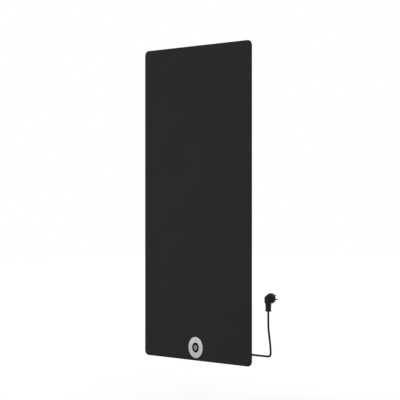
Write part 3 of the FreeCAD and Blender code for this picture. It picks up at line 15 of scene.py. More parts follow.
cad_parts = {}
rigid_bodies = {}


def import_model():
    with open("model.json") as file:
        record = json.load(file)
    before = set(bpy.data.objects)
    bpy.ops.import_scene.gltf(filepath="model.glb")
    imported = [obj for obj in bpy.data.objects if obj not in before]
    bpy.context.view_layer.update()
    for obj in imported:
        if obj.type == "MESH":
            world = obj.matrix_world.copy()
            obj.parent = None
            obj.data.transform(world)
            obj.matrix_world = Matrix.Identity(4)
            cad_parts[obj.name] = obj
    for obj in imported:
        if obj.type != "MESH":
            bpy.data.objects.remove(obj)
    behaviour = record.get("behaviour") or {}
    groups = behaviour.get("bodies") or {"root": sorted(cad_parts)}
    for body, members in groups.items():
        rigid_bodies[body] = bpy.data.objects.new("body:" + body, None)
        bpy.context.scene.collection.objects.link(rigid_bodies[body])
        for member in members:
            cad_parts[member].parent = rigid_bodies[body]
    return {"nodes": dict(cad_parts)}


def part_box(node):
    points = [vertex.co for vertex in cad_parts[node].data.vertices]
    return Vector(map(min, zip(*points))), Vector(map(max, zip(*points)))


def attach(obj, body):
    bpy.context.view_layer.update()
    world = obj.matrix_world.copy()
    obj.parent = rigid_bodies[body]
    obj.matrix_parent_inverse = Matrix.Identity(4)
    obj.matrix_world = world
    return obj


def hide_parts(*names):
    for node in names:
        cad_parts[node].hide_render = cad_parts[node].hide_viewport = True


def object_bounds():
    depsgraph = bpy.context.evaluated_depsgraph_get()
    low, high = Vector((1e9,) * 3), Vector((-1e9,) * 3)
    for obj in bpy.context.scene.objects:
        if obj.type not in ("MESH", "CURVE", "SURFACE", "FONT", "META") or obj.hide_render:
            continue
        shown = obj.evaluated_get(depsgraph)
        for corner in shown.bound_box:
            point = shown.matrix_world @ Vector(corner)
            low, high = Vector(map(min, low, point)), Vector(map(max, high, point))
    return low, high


for leftover in list(bpy.data.objects):
    bpy.data.objects.remove(leftover)
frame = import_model()
CAD_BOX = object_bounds()

LOG = logging.getLogger("panel_heater")
# Lengths are in metres, as in the frame.
MM = 0.001
SAME_POINT = 1e-6
SAME_LEVEL = 1e-7
ALONG_X = Vector((1.0, 0.0, 0.0))
ALONG_Y = Vector((0.0, 1.0, 0.0))
ALONG_Z = Vector((0.0, 0.0, 1.0))
UPRIGHT = Matrix.Rotation(math.pi / 2, 4, "X")
WHITE = (1.0, 1.0, 1.0, 1.0)
# The middle part of a noise, which is stretched into a mask from 0 to 1.
NOISE_MIDDLE = (0.3, 0.7)

Colour = tuple[float, float, float]
Triple = tuple[float, float, float]
Place = tuple[float, float]
Node = bpy.types.Node
Socket = bpy.types.NodeSocket
Feeds = Mapping[str | int, object]
Sockets = Mapping[str, Socket]


class Body(Enum):
    """Bodies of the frame that a piece can ride on."""

    HEATER = "heater"
    DIAL = "dial"
    BUTTON = "button"


class Slot(Enum):
    """Material slots of the record."""

    PANEL_BLACK = "panel_black"
    COVER_BLACK = "cover_black"
    ZINC_STEEL = "zinc_steel"
    MICA = "mica"
    TRACK_METAL = "track_metal"
    MINERAL_WOOL = "mineral_wool"
    CUTOUT_BODY = "cutout_body"
    SILVER_RING = "silver_ring"
    INDEX_BLACK = "index_black"
    MOULDED_BLACK = "moulded_black"
    # Black, and darker still: painted shade of the recess inside the dial's bore.
    BEZEL_BLACK = "bezel_black"
    FELT = "felt"
    BOARD_GREEN = "board_green"
    BUTTON_GREY = "button_grey"
    SILICONE = "silicone"
    PLUNGER_WHITE = "plunger_white"
    FUSE_GLASS = "fuse_glass"
    LEAD_BROWN = "lead_brown"
    LEAD_BLUE = "lead_blue"
    LEAD_GREEN = "lead_green"
    RIBBON_GREY = "ribbon_grey"
    SENSOR_EPOXY = "sensor_epoxy"
    CORD_BLACK = "cord_black"
    PLUG_BLACK = "plug_black"
    PIN_METAL = "pin_metal"
    NICKEL_BRASS = "nickel_brass"


class Effect(Enum):
    """Shared surface effects, each a shader node group."""

    FINE_GRAIN = "fine_grain"
    TURNED_LINES = "turned_lines"
    DRAWN_LINES = "drawn_lines"
    CRYSTALS = "crystals"
    HANDLING_MARKS = "handling_marks"
    FIBRES = "fibres"


class Rounding(Enum):
    """What a bevel rounds."""

    CORNERS = "VERTICES"
    EDGES = "EDGES"


def middle_of(node: str) -> Vector:
    """The middle of a CAD node's box."""
    low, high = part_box(node)
    return (low + high) / 2


def even_places(count: int, reach: float) -> list[float]:
    """Places spread evenly from minus a reach to plus the reach."""
    return [-reach + 2.0 * reach * index / (count - 1) for index in range(count)]


def verts_in(results: Iterable[object]) -> list[BMVert]:
    """The vertices among an operator's results."""
    return [item for item in results if isinstance(item, BMVert)]


class NodeSheet:
    """Short calls for adding and wiring the nodes of one tree."""

    def __init__(self, tree: bpy.types.NodeTree) -> None:
        """Takes the tree to work on."""
        self.tree = tree

    def add(self, kind: str, feeds: Feeds | None = None, **settings: object) -> Node:
        """Adds a node.

        Args:
            kind: The node's type name.
            feeds: Fixed values or sockets for its inputs, by the input's name or number.
            settings: Properties to set on it, before its inputs are fed.

        Returns:
            The new node.
        """
        node = self.tree.nodes.new(kind)
        for key, value in settings.items():
            setattr(node, key, value)
        self.feed(node, feeds or {})
        return node

    def feed(self, node: Node, feeds: Feeds) -> None:
        """Gives inputs of a node their fixed values, or links those whose value is a socket.

        Args:
            node: The node.
            feeds: Fixed values or sockets, by the input's name or number.
        """
        for key, value in feeds.items():
            if isinstance(value, Socket):
                self.tree.links.new(value, node.inputs[key])
            else:
                node.inputs[key].default_value = value

    def calc(self, operation: str, first: object, second: object = 0.0) -> Socket:
        """Adds a Math node and gives its result."""
        return self.add("ShaderNodeMath", {0: first, 1: second}, operation=operation).outputs[0]

    def arrow(self, operation: str, first: object, second: object) -> Socket:
        """Adds a Vector Math node and gives the vector that it makes."""
        return self.add("ShaderNodeVectorMath", {0: first, 1: second}, operation=operation).outputs["Vector"]

    def length(self, vector: Socket) -> Socket:
        """Adds a Vector Math node that measures a vector."""
        return self.add("ShaderNodeVectorMath", {0: vector}, operation="LENGTH").outputs["Value"]

    def noise(self, vector: Socket, scale: object, detail: float, roughness: float = 0.5) -> Socket:
        """Adds a three dimensional noise.

        Args:
            vector: Where the noise is read.
            scale: Cells in a metre, a number or a socket.
            detail: Number of finer layers.
            roughness: Weight of the finer layers.

        Returns:
            The noise, from 0 to 1.
        """
        feeds = {"Vector": vector, "Scale": scale, "Detail": detail, "Roughness": roughness}
        return self.add("ShaderNodeTexNoise", feeds).outputs["Fac"]

    def spread(self, value: Socket, low: float, high: float,
               to_low: float = 0.0, to_high: float = 1.0) -> Socket:
        """Adds a Map Range node.

        Args:
            value: What is mapped.
            low: Start of the range that is read.
            high: End of the range that is read.
            to_low: What the start becomes.
            to_high: What the end becomes.

        Returns:
            The mapped value, held inside its range.
        """
        feeds = {"Value": value, "From Min": low, "From Max": high, "To Min": to_low, "To Max": to_high}
        return self.add("ShaderNodeMapRange", feeds, clamp=True).outputs["Result"]

    def tint(self, mask: Socket, dark: Colour, light: Colour) -> Socket:
        """Adds a colour mix.

        Args:
            mask: 0 for the first colour and 1 for the second.
            dark: The first colour.
            light: The second colour.

        Returns:
            The mixed colour.
        """
        feeds = {0: mask, 6: (*dark, 1.0), 7: (*light, 1.0)}
        return self.add("ShaderNodeMix", feeds, data_type="RGBA").outputs[2]

    def object_place(self) -> Socket:
        """Adds the Object coordinates."""
        return self.add("ShaderNodeTexCoord").outputs["Object"]


class Surface(NodeSheet):
    """The nodes of one material, with its shader at hand."""

    def __init__(self, name: str) -> None:
        """Makes the material.

        Args:
            name: The material's name.
        """
        self.material = bpy.data.materials.new(name)
        self.material.use_nodes = True
        super().__init__(self.material.node_tree)
        self.shader = self.tree.nodes["Principled BSDF"]

    def shade(self, feeds: Feeds) -> None:
        """Feeds inputs of the shader."""
        self.feed(self.shader, feeds)


class EffectLibrary:
    """Builds each shared effect once, as a node group, and places it in materials."""

    def __init__(self) -> None:
        """Starts with no group built."""
        self.trees: dict[Effect, bpy.types.NodeTree] = {}

    def place(self, sheet: NodeSheet, effect: Effect, **values: object) -> Sockets:
        """Places an effect in a material.

        Args:
            sheet: The material's nodes.
            effect: Which effect.
            values: The group's inputs by name.

        Returns:
            The group's outputs by name.
        """
        if effect not in self.trees:
            self.trees[effect] = self.build(effect)
        return sheet.add("ShaderNodeGroup", values, node_tree=self.trees[effect]).outputs

    def build(self, effect: Effect) -> bpy.types.NodeTree:
        """Builds an effect's group.

        Args:
            effect: Which effect.

        Returns:
            The group, with the inputs listed here and the outputs that its maker gives.
        """
        value, vector = "NodeSocketFloat", "NodeSocketVector"
        maker, inputs = {
            Effect.FINE_GRAIN: (self.fine_grain, {"Cells": value, "Patches": value}),
            Effect.TURNED_LINES: (self.turned_lines, {"Centre": vector, "Lines": value}),
            Effect.DRAWN_LINES: (self.drawn_lines, {"Stretch": vector}),
            Effect.CRYSTALS: (self.crystals, {"Cells": value}),
            Effect.HANDLING_MARKS: (self.handling_marks, {"Size": value}),
            Effect.FIBRES: (self.fibres, {"Threads": value}),
        }[effect]
        tree = bpy.data.node_groups.new(effect.value, "ShaderNodeTree")
        for name, kind in inputs.items():
            tree.interface.new_socket(name=name, in_out="INPUT", socket_type=kind)
        sheet = NodeSheet(tree)
        results = maker(sheet, sheet.add("NodeGroupInput").outputs)
        for name in results:
            tree.interface.new_socket(name=name, in_out="OUTPUT", socket_type=value)
        sheet.add("NodeGroupOutput", results)
        return tree

    def fine_grain(self, sheet: NodeSheet, given: Sockets) -> Sockets:
        """Makes the small bumps of a coat or a moulding, with a slow mottle.

        Args:
            sheet: The group's nodes.
            given: The group's inputs.

        Returns:
            Height and Mottle.
        """
        place = sheet.object_place()
        mottle = sheet.noise(place, given["Patches"], detail=3.0, roughness=0.6)
        return {
            "Height": sheet.noise(place, given["Cells"], detail=2.0, roughness=0.55),
            "Mottle": sheet.spread(mottle, *NOISE_MIDDLE),
        }

    def turned_lines(self, sheet: NodeSheet, given: Sockets) -> Sockets:
        """Makes the fine circles left by a lathe, about an axis along Y.

        Args:
            sheet: The group's nodes.
            given: The group's inputs.

        Returns:
            Height, Shade and Gloss.
        """
        offset = sheet.arrow("SUBTRACT", sheet.object_place(), given["Centre"])
        radius = sheet.length(sheet.arrow("MULTIPLY", offset, (1.0, 0.0, 1.0)))
        count = sheet.calc("MULTIPLY", radius, given["Lines"])
        fine_share, coarse_share = 1.0, 0.22
        fine, coarse = (
            sheet.add(
                "ShaderNodeTexNoise",
                {"W": sheet.calc("MULTIPLY", count, share), "Scale": 1.0, "Detail": 2.0},
                noise_dimensions="1D",
            ).outputs["Fac"]
            for share in (fine_share, coarse_share)
        )
        return {"Height": fine, "Shade": sheet.spread(coarse, *NOISE_MIDDLE), "Gloss": coarse}

    def drawn_lines(self, sheet: NodeSheet, given: Sockets) -> Sockets:
        """Makes straight fine lines left by drawing or extruding, stretched by the scale on each axis.

        Args:
            sheet: The group's nodes.
            given: The group's inputs.

        Returns:
            Height, Shade and Gloss.
        """
        scaled = sheet.arrow("MULTIPLY", sheet.object_place(), given["Stretch"])
        streak = sheet.spread(sheet.noise(scaled, scale=0.15, detail=2.0), *NOISE_MIDDLE)
        return {"Height": sheet.noise(scaled, scale=1.0, detail=2.0), "Shade": streak, "Gloss": streak}

    def crystals(self, sheet: NodeSheet, given: Sockets) -> Sockets:
        """Makes feathered patches, as in a zinc coat or pressed flakes.

        Args:
            sheet: The group's nodes.
            given: The group's inputs.

        Returns:
            Height, Shade and Gloss.
        """
        finer, patch_share, fine_share = 6.0, 0.6, 0.4
        place = sheet.object_place()
        cells = sheet.add("ShaderNodeTexVoronoi", {"Vector": place, "Scale": given["Cells"]}, feature="F1")
        parts = sheet.add("ShaderNodeSeparateColor", {"Color": cells.outputs["Color"]})
        fine = sheet.noise(place, sheet.calc("MULTIPLY", given["Cells"], finer), detail=2.0)
        patch = sheet.calc("MULTIPLY", parts.outputs["Red"], patch_share)
        shade = sheet.calc("ADD", patch, sheet.calc("MULTIPLY", fine, fine_share))
        return {"Height": fine, "Shade": shade, "Gloss": shade}

    def handling_marks(self, sheet: NodeSheet, given: Sockets) -> Sockets:
        """Makes soft touched patches that dull or polish a surface.

        Args:
            sheet: The group's nodes.
            given: The group's inputs.

        Returns:
            Smudge.
        """
        finer, fine_share = 9.0, 0.3
        place = sheet.object_place()
        wide = sheet.noise(place, given["Size"], detail=3.0, roughness=0.65)
        fine = sheet.noise(place, sheet.calc("MULTIPLY", given["Size"], finer), detail=2.0)
        mixed = sheet.calc("ADD", wide, sheet.calc("MULTIPLY", fine, fine_share))
        return {"Smudge": sheet.spread(mixed, low=0.5, high=0.85)}

    def fibres(self, sheet: NodeSheet, given: Sockets) -> Sockets:
        """Makes matted fibres in two directions.

        Args:
            sheet: The group's nodes.
            given: The group's inputs.

        Returns:
            Height, Shade and Gloss.
        """
        place = sheet.object_place()
        upright, level = (1.0, 0.4, 0.12), (0.12, 0.4, 1.0)
        layers = [
            sheet.noise(sheet.arrow("MULTIPLY", place, stretch), given["Threads"], detail=3.0, roughness=0.7)
            for stretch in (upright, level)
        ]
        matted = sheet.calc("MAXIMUM", *layers)
        shade = sheet.spread(matted, low=0.4, high=0.75)
        return {"Height": matted, "Shade": shade, "Gloss": shade}


EFFECTS = EffectLibrary()


@dataclass(frozen=True)
class Finish:
    """What every finish has: its slot, its two tones and its range of roughness."""

    slot: Slot
    dark: Colour
    light: Colour
    smooth: float
    rough: float
    specular: float = 0.5
    metallic: float = 0.0

    def material(self) -> bpy.types.Material:
        """Makes the material.

        Returns:
            A new material with its shader and its surface effects.
        """
        sheet = Surface(self.slot.value + "_finish")
        sheet.shade({"Metallic": self.metallic, "Specular IOR Level": self.specular})
        self.dress(sheet)
        return sheet.material

    def dress(self, sheet: Surface) -> None:
        """Adds the effects. Each finish has its own."""
        raise NotImplementedError

    def tone(self, sheet: Surface, mask: Socket) -> None:
        """Spreads the two tones over the surface."""
        sheet.shade({"Base Color": sheet.tint(mask, self.dark, self.light)})

    def gloss(self, sheet: Surface, mask: Socket) -> None:
        """Spreads the range of roughness over the surface."""
        sheet.shade({"Roughness": sheet.spread(mask, 0.0, 1.0, self.smooth, self.rough)})

    def relief(self, sheet: Surface, height: Socket, depth: float) -> None:
        """Presses a relief, from 0 to 1, into the surface, as deep as is given in metres."""
        bump = sheet.add("ShaderNodeBump", {"Strength": 1.0, "Distance": depth, "Height": height})
        sheet.shade({"Normal": bump.outputs["Normal"]})


@dataclass(frozen=True)
class Grained(Finish):
    """A surface with a fine grain, a slow mottle of tone and touched patches of gloss."""

    cells: float = 3200.0
    patches: float = 60.0
    touched: float = 60.0
    depth: float = 0.006 * MM

    def dress(self, sheet: Surface) -> None:
        """Adds the grain, the mottle and the patches.

        Args:
            sheet: The material's nodes.
        """
        grain = EFFECTS.place(sheet, Effect.FINE_GRAIN, Cells=self.cells, Patches=self.patches)
        marks = EFFECTS.place(sheet, Effect.HANDLING_MARKS, Size=self.touched)
        self.tone(sheet, grain["Mottle"])
        self.gloss(sheet, marks["Smudge"])
        self.relief(sheet, grain["Height"], self.depth)


@dataclass(frozen=True)
class Moulding(Grained):
    """Moulded plastic with a spark-eroded grain."""


@dataclass(frozen=True)
class PowderCoat(Grained):
    """A baked powder coat with a fine orange-peel."""

    cells: float = 1400.0
    patches: float = 7.0
    touched: float = 7.0
    depth: float = 0.018 * MM


@dataclass(frozen=True)
class Sheath(Grained):
    """A soft extruded sheath of a cord or a wire."""

    cells: float = 900.0
    patches: float = 90.0
    touched: float = 45.0
    depth: float = 0.02 * MM


@dataclass(frozen=True)
class Patterned(Finish):
    """A surface with one pattern in its tone, its gloss and its relief."""

    depth: float = 0.006 * MM

    def pattern(self, sheet: Surface) -> Sockets:
        """Places the pattern. Each finish has its own."""
        raise NotImplementedError

    def dress(self, sheet: Surface) -> None:
        """Lays the pattern over the surface.

        Args:
            sheet: The material's nodes.
        """
        laid = self.pattern(sheet)
        self.tone(sheet, laid["Shade"])
        self.gloss(sheet, laid["Gloss"])
        self.relief(sheet, laid["Height"], self.depth)


@dataclass(frozen=True)
class TurnedMetal(Patterned):
    """Metal faced on a lathe, about an axis along Y."""

    centre: Triple = (0.0, 0.0, 0.0)
    lines: float = 5200.0

    def pattern(self, sheet: Surface) -> Sockets:
        """Places the lathe's circles."""
        return EFFECTS.place(sheet, Effect.TURNED_LINES, Centre=self.centre, Lines=self.lines)


@dataclass(frozen=True)
class DrawnMetal(Patterned):
    """Rolled or drawn metal with fine lines one way."""

    depth: float = 0.003 * MM
    stretch: Triple = (4000.0, 60.0, 4000.0)

    def pattern(self, sheet: Surface) -> Sockets:
        """Places the fine lines."""
        return EFFECTS.place(sheet, Effect.DRAWN_LINES, Stretch=self.stretch)


@dataclass(frozen=True)
class Crystalline(Patterned):
    """A surface of feathered patches."""

    cells: float = 260.0

    def pattern(self, sheet: Surface) -> Sockets:
        """Places the patches."""
        return EFFECTS.place(sheet, Effect.CRYSTALS, Cells=self.cells)


@dataclass(frozen=True)
class ZincPlate(Crystalline):
    """Zinc coated steel with a faint crystal pattern."""


@dataclass(frozen=True)
class FlakeSheet(Crystalline):
    """A pressed sheet of mica flakes, coarser than zinc's crystals."""

    depth: float = 0.02 * MM
    cells: float = 140.0


@dataclass(frozen=True)
class FibreMat(Patterned):
    """Matted fibres, as in felt and mineral wool."""

    depth: float = 0.25 * MM
    threads: float = 900.0

    def pattern(self, sheet: Surface) -> Sockets:
        """Places the fibres."""
        return EFFECTS.place(sheet, Effect.FIBRES, Threads=self.threads)


@dataclass(frozen=True)
class CircuitBoard(Finish):
    """Green solder mask over copper runs."""

    track: Colour = (0.03, 0.16, 0.06)
    pitch: float = 240.0
    stagger: float = 0.35
    track_width: float = 0.06
    depth: float = 0.03 * MM

    def dress(self, sheet: Surface) -> None:
        """Adds the runs as a raised brick-like net under the mask.

        Args:
            sheet: The material's nodes.
        """
        feeds = {"Vector": sheet.object_place(), "Rotation": (math.pi / 2, 0.0, 0.0)}
        net = sheet.add("ShaderNodeTexBrick", {
            "Vector": sheet.add("ShaderNodeMapping", feeds).outputs["Vector"],
            "Color1": (*self.dark, 1.0),
            "Color2": (*self.light, 1.0),
            "Mortar": (*self.track, 1.0),
            "Scale": self.pitch,
            "Mortar Size": self.track_width,
        }, offset=self.stagger)
        sheet.shade({"Base Color": net.outputs["Color"]})
        self.gloss(sheet, net.outputs["Fac"])
        self.relief(sheet, net.outputs["Fac"], self.depth)


@dataclass(frozen=True)
class ClearTube(Finish):
    """A small glass tube with touched patches in its gloss."""

    touched: float = 300.0
    clearness: float = 0.9
    refraction: float = 1.5

    def dress(self, sheet: Surface) -> None:
        """Makes the glass clear, with a faint tone and uneven gloss.

        Args:
            sheet: The material's nodes.
        """
        marks = EFFECTS.place(sheet, Effect.HANDLING_MARKS, Size=self.touched)
        self.tone(sheet, marks["Smudge"])
        self.gloss(sheet, marks["Smudge"])
        sheet.shade({"Transmission Weight": self.clearness, "IOR": self.refraction})


class FinishBook:
    """The finishes of the whole heater, one for each slot, made on first use."""

    def __init__(self, dial_centre: Vector) -> None:
        """Lists the finishes.

        Args:
            dial_centre: A point on the dial's axis, in metres.
        """
        self.materials: dict[Slot, bpy.types.Material] = {}
        listed = [
            PowderCoat(Slot.PANEL_BLACK, (0.0082, 0.0082, 0.0082), (0.0099, 0.0099, 0.0099),
                       0.58, 0.66, 0.11),
            PowderCoat(Slot.COVER_BLACK, (0.010, 0.010, 0.0102), (0.013, 0.013, 0.0132), 0.5, 0.6, 0.3,
                       cells=1100.0, depth=0.025 * MM),
            ZincPlate(Slot.ZINC_STEEL, (0.42, 0.43, 0.45), (0.58, 0.59, 0.60), 0.3, 0.46, metallic=1.0),
            FlakeSheet(Slot.MICA, (0.34, 0.27, 0.18), (0.5, 0.42, 0.3), 0.3, 0.5),
            DrawnMetal(Slot.TRACK_METAL, (0.36, 0.35, 0.33), (0.5, 0.49, 0.46), 0.3, 0.42, metallic=1.0,
                       stretch=(3000.0, 3000.0, 50.0)),
            FibreMat(Slot.MINERAL_WOOL, (0.42, 0.38, 0.27), (0.6, 0.56, 0.43), 0.9, 1.0, 0.2),
            Moulding(Slot.CUTOUT_BODY, (0.03, 0.022, 0.016), (0.05, 0.036, 0.026), 0.4, 0.52),
            TurnedMetal(Slot.SILVER_RING, (0.342, 0.342, 0.346), (0.421, 0.421, 0.425), 0.22, 0.28,
                        metallic=1.0, centre=tuple(dial_centre)),
            Moulding(Slot.INDEX_BLACK, (0.012, 0.012, 0.012), (0.02, 0.02, 0.02), 0.5, 0.6, 0.2),
            Moulding(Slot.MOULDED_BLACK, (0.012, 0.012, 0.013), (0.018, 0.018, 0.019), 0.45, 0.56, 0.35),
            # The bezel is black. Its tone and reflection are set far below the other black mouldings as
            # painted shade of the recess inside the ring's bore.
            Moulding(Slot.BEZEL_BLACK, (0.0015, 0.0015, 0.0016), (0.0025, 0.0025, 0.0026), 0.34, 0.42, 0.03),
            FibreMat(Slot.FELT, (0.06, 0.06, 0.062), (0.12, 0.12, 0.125), 0.9, 1.0, 0.1,
                     threads=4000.0, depth=0.06 * MM),
            CircuitBoard(Slot.BOARD_GREEN, (0.012, 0.075, 0.03), (0.016, 0.09, 0.035), 0.3, 0.42),
            Moulding(Slot.BUTTON_GREY, (0.2, 0.2, 0.202), (0.223, 0.223, 0.225), 0.42, 0.52, 0.3),
            Moulding(Slot.SILICONE, (0.3, 0.3, 0.29), (0.38, 0.38, 0.37), 0.5, 0.6, 0.4),
            Moulding(Slot.PLUNGER_WHITE, (0.6, 0.6, 0.58), (0.7, 0.7, 0.68), 0.4, 0.5),
            ClearTube(Slot.FUSE_GLASS, (0.8, 0.83, 0.82), (0.9, 0.92, 0.91), 0.03, 0.12),
            Sheath(Slot.LEAD_BROWN, (0.1, 0.045, 0.02), (0.13, 0.06, 0.028), 0.4, 0.55),
            Sheath(Slot.LEAD_BLUE, (0.02, 0.08, 0.25), (0.028, 0.1, 0.3), 0.4, 0.55),
            Sheath(Slot.LEAD_GREEN, (0.06, 0.22, 0.03), (0.08, 0.27, 0.04), 0.4, 0.55),
            Sheath(Slot.RIBBON_GREY, (0.34, 0.34, 0.35), (0.4, 0.4, 0.41), 0.45, 0.6),
            Moulding(Slot.SENSOR_EPOXY, (0.012, 0.012, 0.012), (0.02, 0.02, 0.02), 0.2, 0.32),
            Sheath(Slot.CORD_BLACK, (0.003, 0.003, 0.0031), (0.0045, 0.0045, 0.0046), 0.42, 0.55, 0.1),
            Moulding(Slot.PLUG_BLACK, (0.0035, 0.0035, 0.0036), (0.005, 0.005, 0.0051), 0.4, 0.5, 0.12,
                     cells=2400.0, depth=0.012 * MM),
            DrawnMetal(Slot.PIN_METAL, (0.035, 0.034, 0.032), (0.055, 0.053, 0.05), 0.28, 0.4, metallic=1.0),
            DrawnMetal(Slot.NICKEL_BRASS, (0.6, 0.56, 0.48), (0.7, 0.66, 0.58), 0.2, 0.3, metallic=1.0),
        ]
        self.finishes: dict[Slot, Finish] = {finish.slot: finish for finish in listed}

    def material(self, slot: Slot) -> bpy.types.Material:
        """Gives a slot's material, and makes it on first use.

        Args:
            slot: The slot.

        Returns:
            Its material.
        """
        if slot not in self.materials:
            self.materials[slot] = self.finishes[slot].material()
        return self.materials[slot]

    def paint_node(self, name: str) -> None:
        """Puts the finish of its slot on a CAD node that stays.

        Args:
            name: The node's name.
        """
        for holder in frame["nodes"][name].material_slots:
            holder.material = self.material(Slot(holder.material.name.split(".")[0]))
        LOG.info("finished CAD node %s", name)


class Shaper:
    """A bmesh under construction, with the shaping moves that the pieces share."""

    def __init__(self) -> None:
        """Starts an empty mesh."""
        self.bm = bmesh.new()

    def rounded_face(self, width: float, height: float, corner: float, depth: float,
                     centre: Place = (0.0, 0.0), segments: int = 14) -> BMFace:
        """Adds a rectangle with round corners, facing the front.

        Args:
            width: Size along X.
            height: Size along Z.
            corner: Corner radius.
            depth: Its place along Y.
            centre: The middle's X and Z.
            segments: Steps in each corner.

        Returns:
            The face.
        """
        place = Matrix.Translation((centre[0], depth, centre[1]))
        size = Matrix.Diagonal((width, height, 1.0, 1.0))
        made = bmesh.ops.create_grid(
            self.bm, x_segments=1, y_segments=1, size=0.5, matrix=place @ UPRIGHT @ size)
        rounded = self.bevelled(made["verts"], corner, segments, Rounding.CORNERS)
        return rounded[0].link_faces[0]

    def disc(self, radius: float, depth: float, centre: Place = (0.0, 0.0), segments: int = 28) -> BMFace:
        """Adds a round face, facing the front.

        Args:
            radius: Its radius.
            depth: Its place along Y.
            centre: The middle's X and Z.
            segments: Steps round its edge.

        Returns:
            The face.
        """
        place = Matrix.Translation((centre[0], depth, centre[1]))
        made = bmesh.ops.create_circle(
            self.bm, cap_ends=True, segments=segments, radius=radius, matrix=place @ UPRIGHT)
        return made["verts"][0].link_faces[0]

    def pushed(self, face: BMFace, distance: float) -> BMFace:
        """Extrudes a face along Y into a block.

        Args:
            face: The face, which stays as the block's near end.
            distance: How far, with back to the wall as positive.

        Returns:
            The far end.
        """
        made = bmesh.ops.extrude_face_region(self.bm, geom=[face], use_keep_orig=True)["geom"]
        bmesh.ops.translate(self.bm, verts=verts_in(made), vec=ALONG_Y * distance)
        return next(item for item in made if isinstance(item, BMFace))

    def bevelled(self, items: list[BMVert] | list[BMEdge], radius: float, segments: int,
                 rounding: Rounding) -> list[BMVert]:
        """Rounds corners or edges.

        Args:
            items: The corners or the edges.
            radius: The round's radius.
            segments: Steps in the round.
            rounding: Which of the two they are.

        Returns:
            The vertices of the rounds.
        """
        return bmesh.ops.bevel(
            self.bm, geom=items, offset=radius, offset_type="OFFSET", segments=segments,
            profile=0.5, affect=rounding.value, material=-1, clamp_overlap=True)["verts"]

    def rounded_edges(self, edges: Iterable[BMEdge], radius: float, segments: int) -> None:
        """Rounds edges, such as those round a face."""
        self.bevelled(list(edges), radius, segments, Rounding.EDGES)

    def flat_at(self, depth: float, height: float | None = None) -> BMFace:
        """Finds the largest face that lies at one place along Y.

        Args:
            depth: The place along Y.
            height: The middle's place along Z, where that matters.

        Returns:
            The face.
        """
        level = [f for f in self.bm.faces if all(abs(v.co.y - depth) < SAME_LEVEL for v in f.verts)]
        if height is not None:
            level = [f for f in level if abs(f.calc_center_median().z - height) < SAME_POINT]
        return max(level, key=lambda f: f.calc_area())

    def inset(self, face: BMFace, border: float) -> None:
        """Draws a face in by an even border."""
        bmesh.ops.inset_region(self.bm, faces=[face], thickness=border, use_even_offset=True)

    def tapered(self, verts: list[BMVert], share: float) -> None:
        """Draws vertices in towards the Y axis, to a share of their distance."""
        bmesh.ops.scale(self.bm, verts=verts, vec=(share, 1.0, share))

    def opened(self, face: BMFace) -> list[BMEdge]:
        """Takes a face out and keeps its edges.

        Args:
            face: The face to take out.

        Returns:
            Its edges.
        """
        edges = list(face.edges)
        bmesh.ops.delete(self.bm, geom=[face], context="FACES_ONLY")
        return edges

    def filled(self, edges: list[BMEdge], facing: Vector) -> None:
        """Fills a flat region between edge loops, outer and holes, with faces that look one way."""
        bmesh.ops.triangle_fill(self.bm, edges=edges, use_beauty=True, use_dissolve=False, normal=facing)

    def lathe(self, profile: list[Place], axis: Vector, centre: Vector, segments: int,
              rounds: dict[int, float] | None = None, steps: int = 3) -> None:
        """Turns a profile round an axis.

        Args:
            profile: Points as the distance along the axis and the radius.
            axis: The axis' direction.
            centre: A point on the axis.
            segments: Steps of the turn.
            rounds: Round radii by the index of a profile point.
            steps: Steps in each round.
        """
        before = set(self.bm.verts) | set(self.bm.edges)
        verts = [self.bm.verts.new(centre + axis * along + ALONG_Z * radius) for along, radius in profile]
        for pair in zip(verts, verts[1:]):
            self.bm.edges.new(pair)
        for index, radius in (rounds or {}).items():
            self.bevelled([verts[index]], radius, steps, Rounding.CORNERS)
        line = [item for item in self.bm.verts[:] + self.bm.edges[:] if item not in before]
        bmesh.ops.spin(
            self.bm, geom=line, cent=centre, axis=axis, angle=math.tau, steps=segments, use_merge=True)

    def copies(self, places: list[Vector], turn: float = 0.0) -> None:
        """Repeats everything made so far at other places, and keeps only the copies.

        Args:
            places: How far each copy moves.
            turn: How much further each copy is turned than the last, about Y.
        """
        master = self.bm.verts[:] + self.bm.edges[:] + self.bm.faces[:]
        for index, place in enumerate(places):
            moved = verts_in(bmesh.ops.duplicate(self.bm, geom=master)["geom"])
            turned = Matrix.Rotation(index * turn, 3, "Y")
            bmesh.ops.rotate(self.bm, verts=moved, cent=(0.0, 0.0, 0.0), matrix=turned)
            bmesh.ops.translate(self.bm, verts=moved, vec=place)
        bmesh.ops.delete(self.bm, geom=verts_in(master), context="VERTS")

    def mesh(self, name: str, crease: float = 32.0) -> bpy.types.Mesh:
        """Closes the mesh off.

        Args:
            name: The mesh's name.
            crease: Edges sharper than this many degrees stay sharp.

        Returns:
            The finished mesh, facing outwards.
        """
        bmesh.ops.remove_doubles(self.bm, verts=self.bm.verts[:], dist=SAME_POINT)
        bmesh.ops.recalc_face_normals(self.bm, faces=self.bm.faces[:])
        made = bpy.data.meshes.new(name)
        self.bm.to_mesh(made)
        self.bm.free()
        made.shade_smooth()
        made.set_sharp_from_angle(angle=math.radians(crease))
        return made


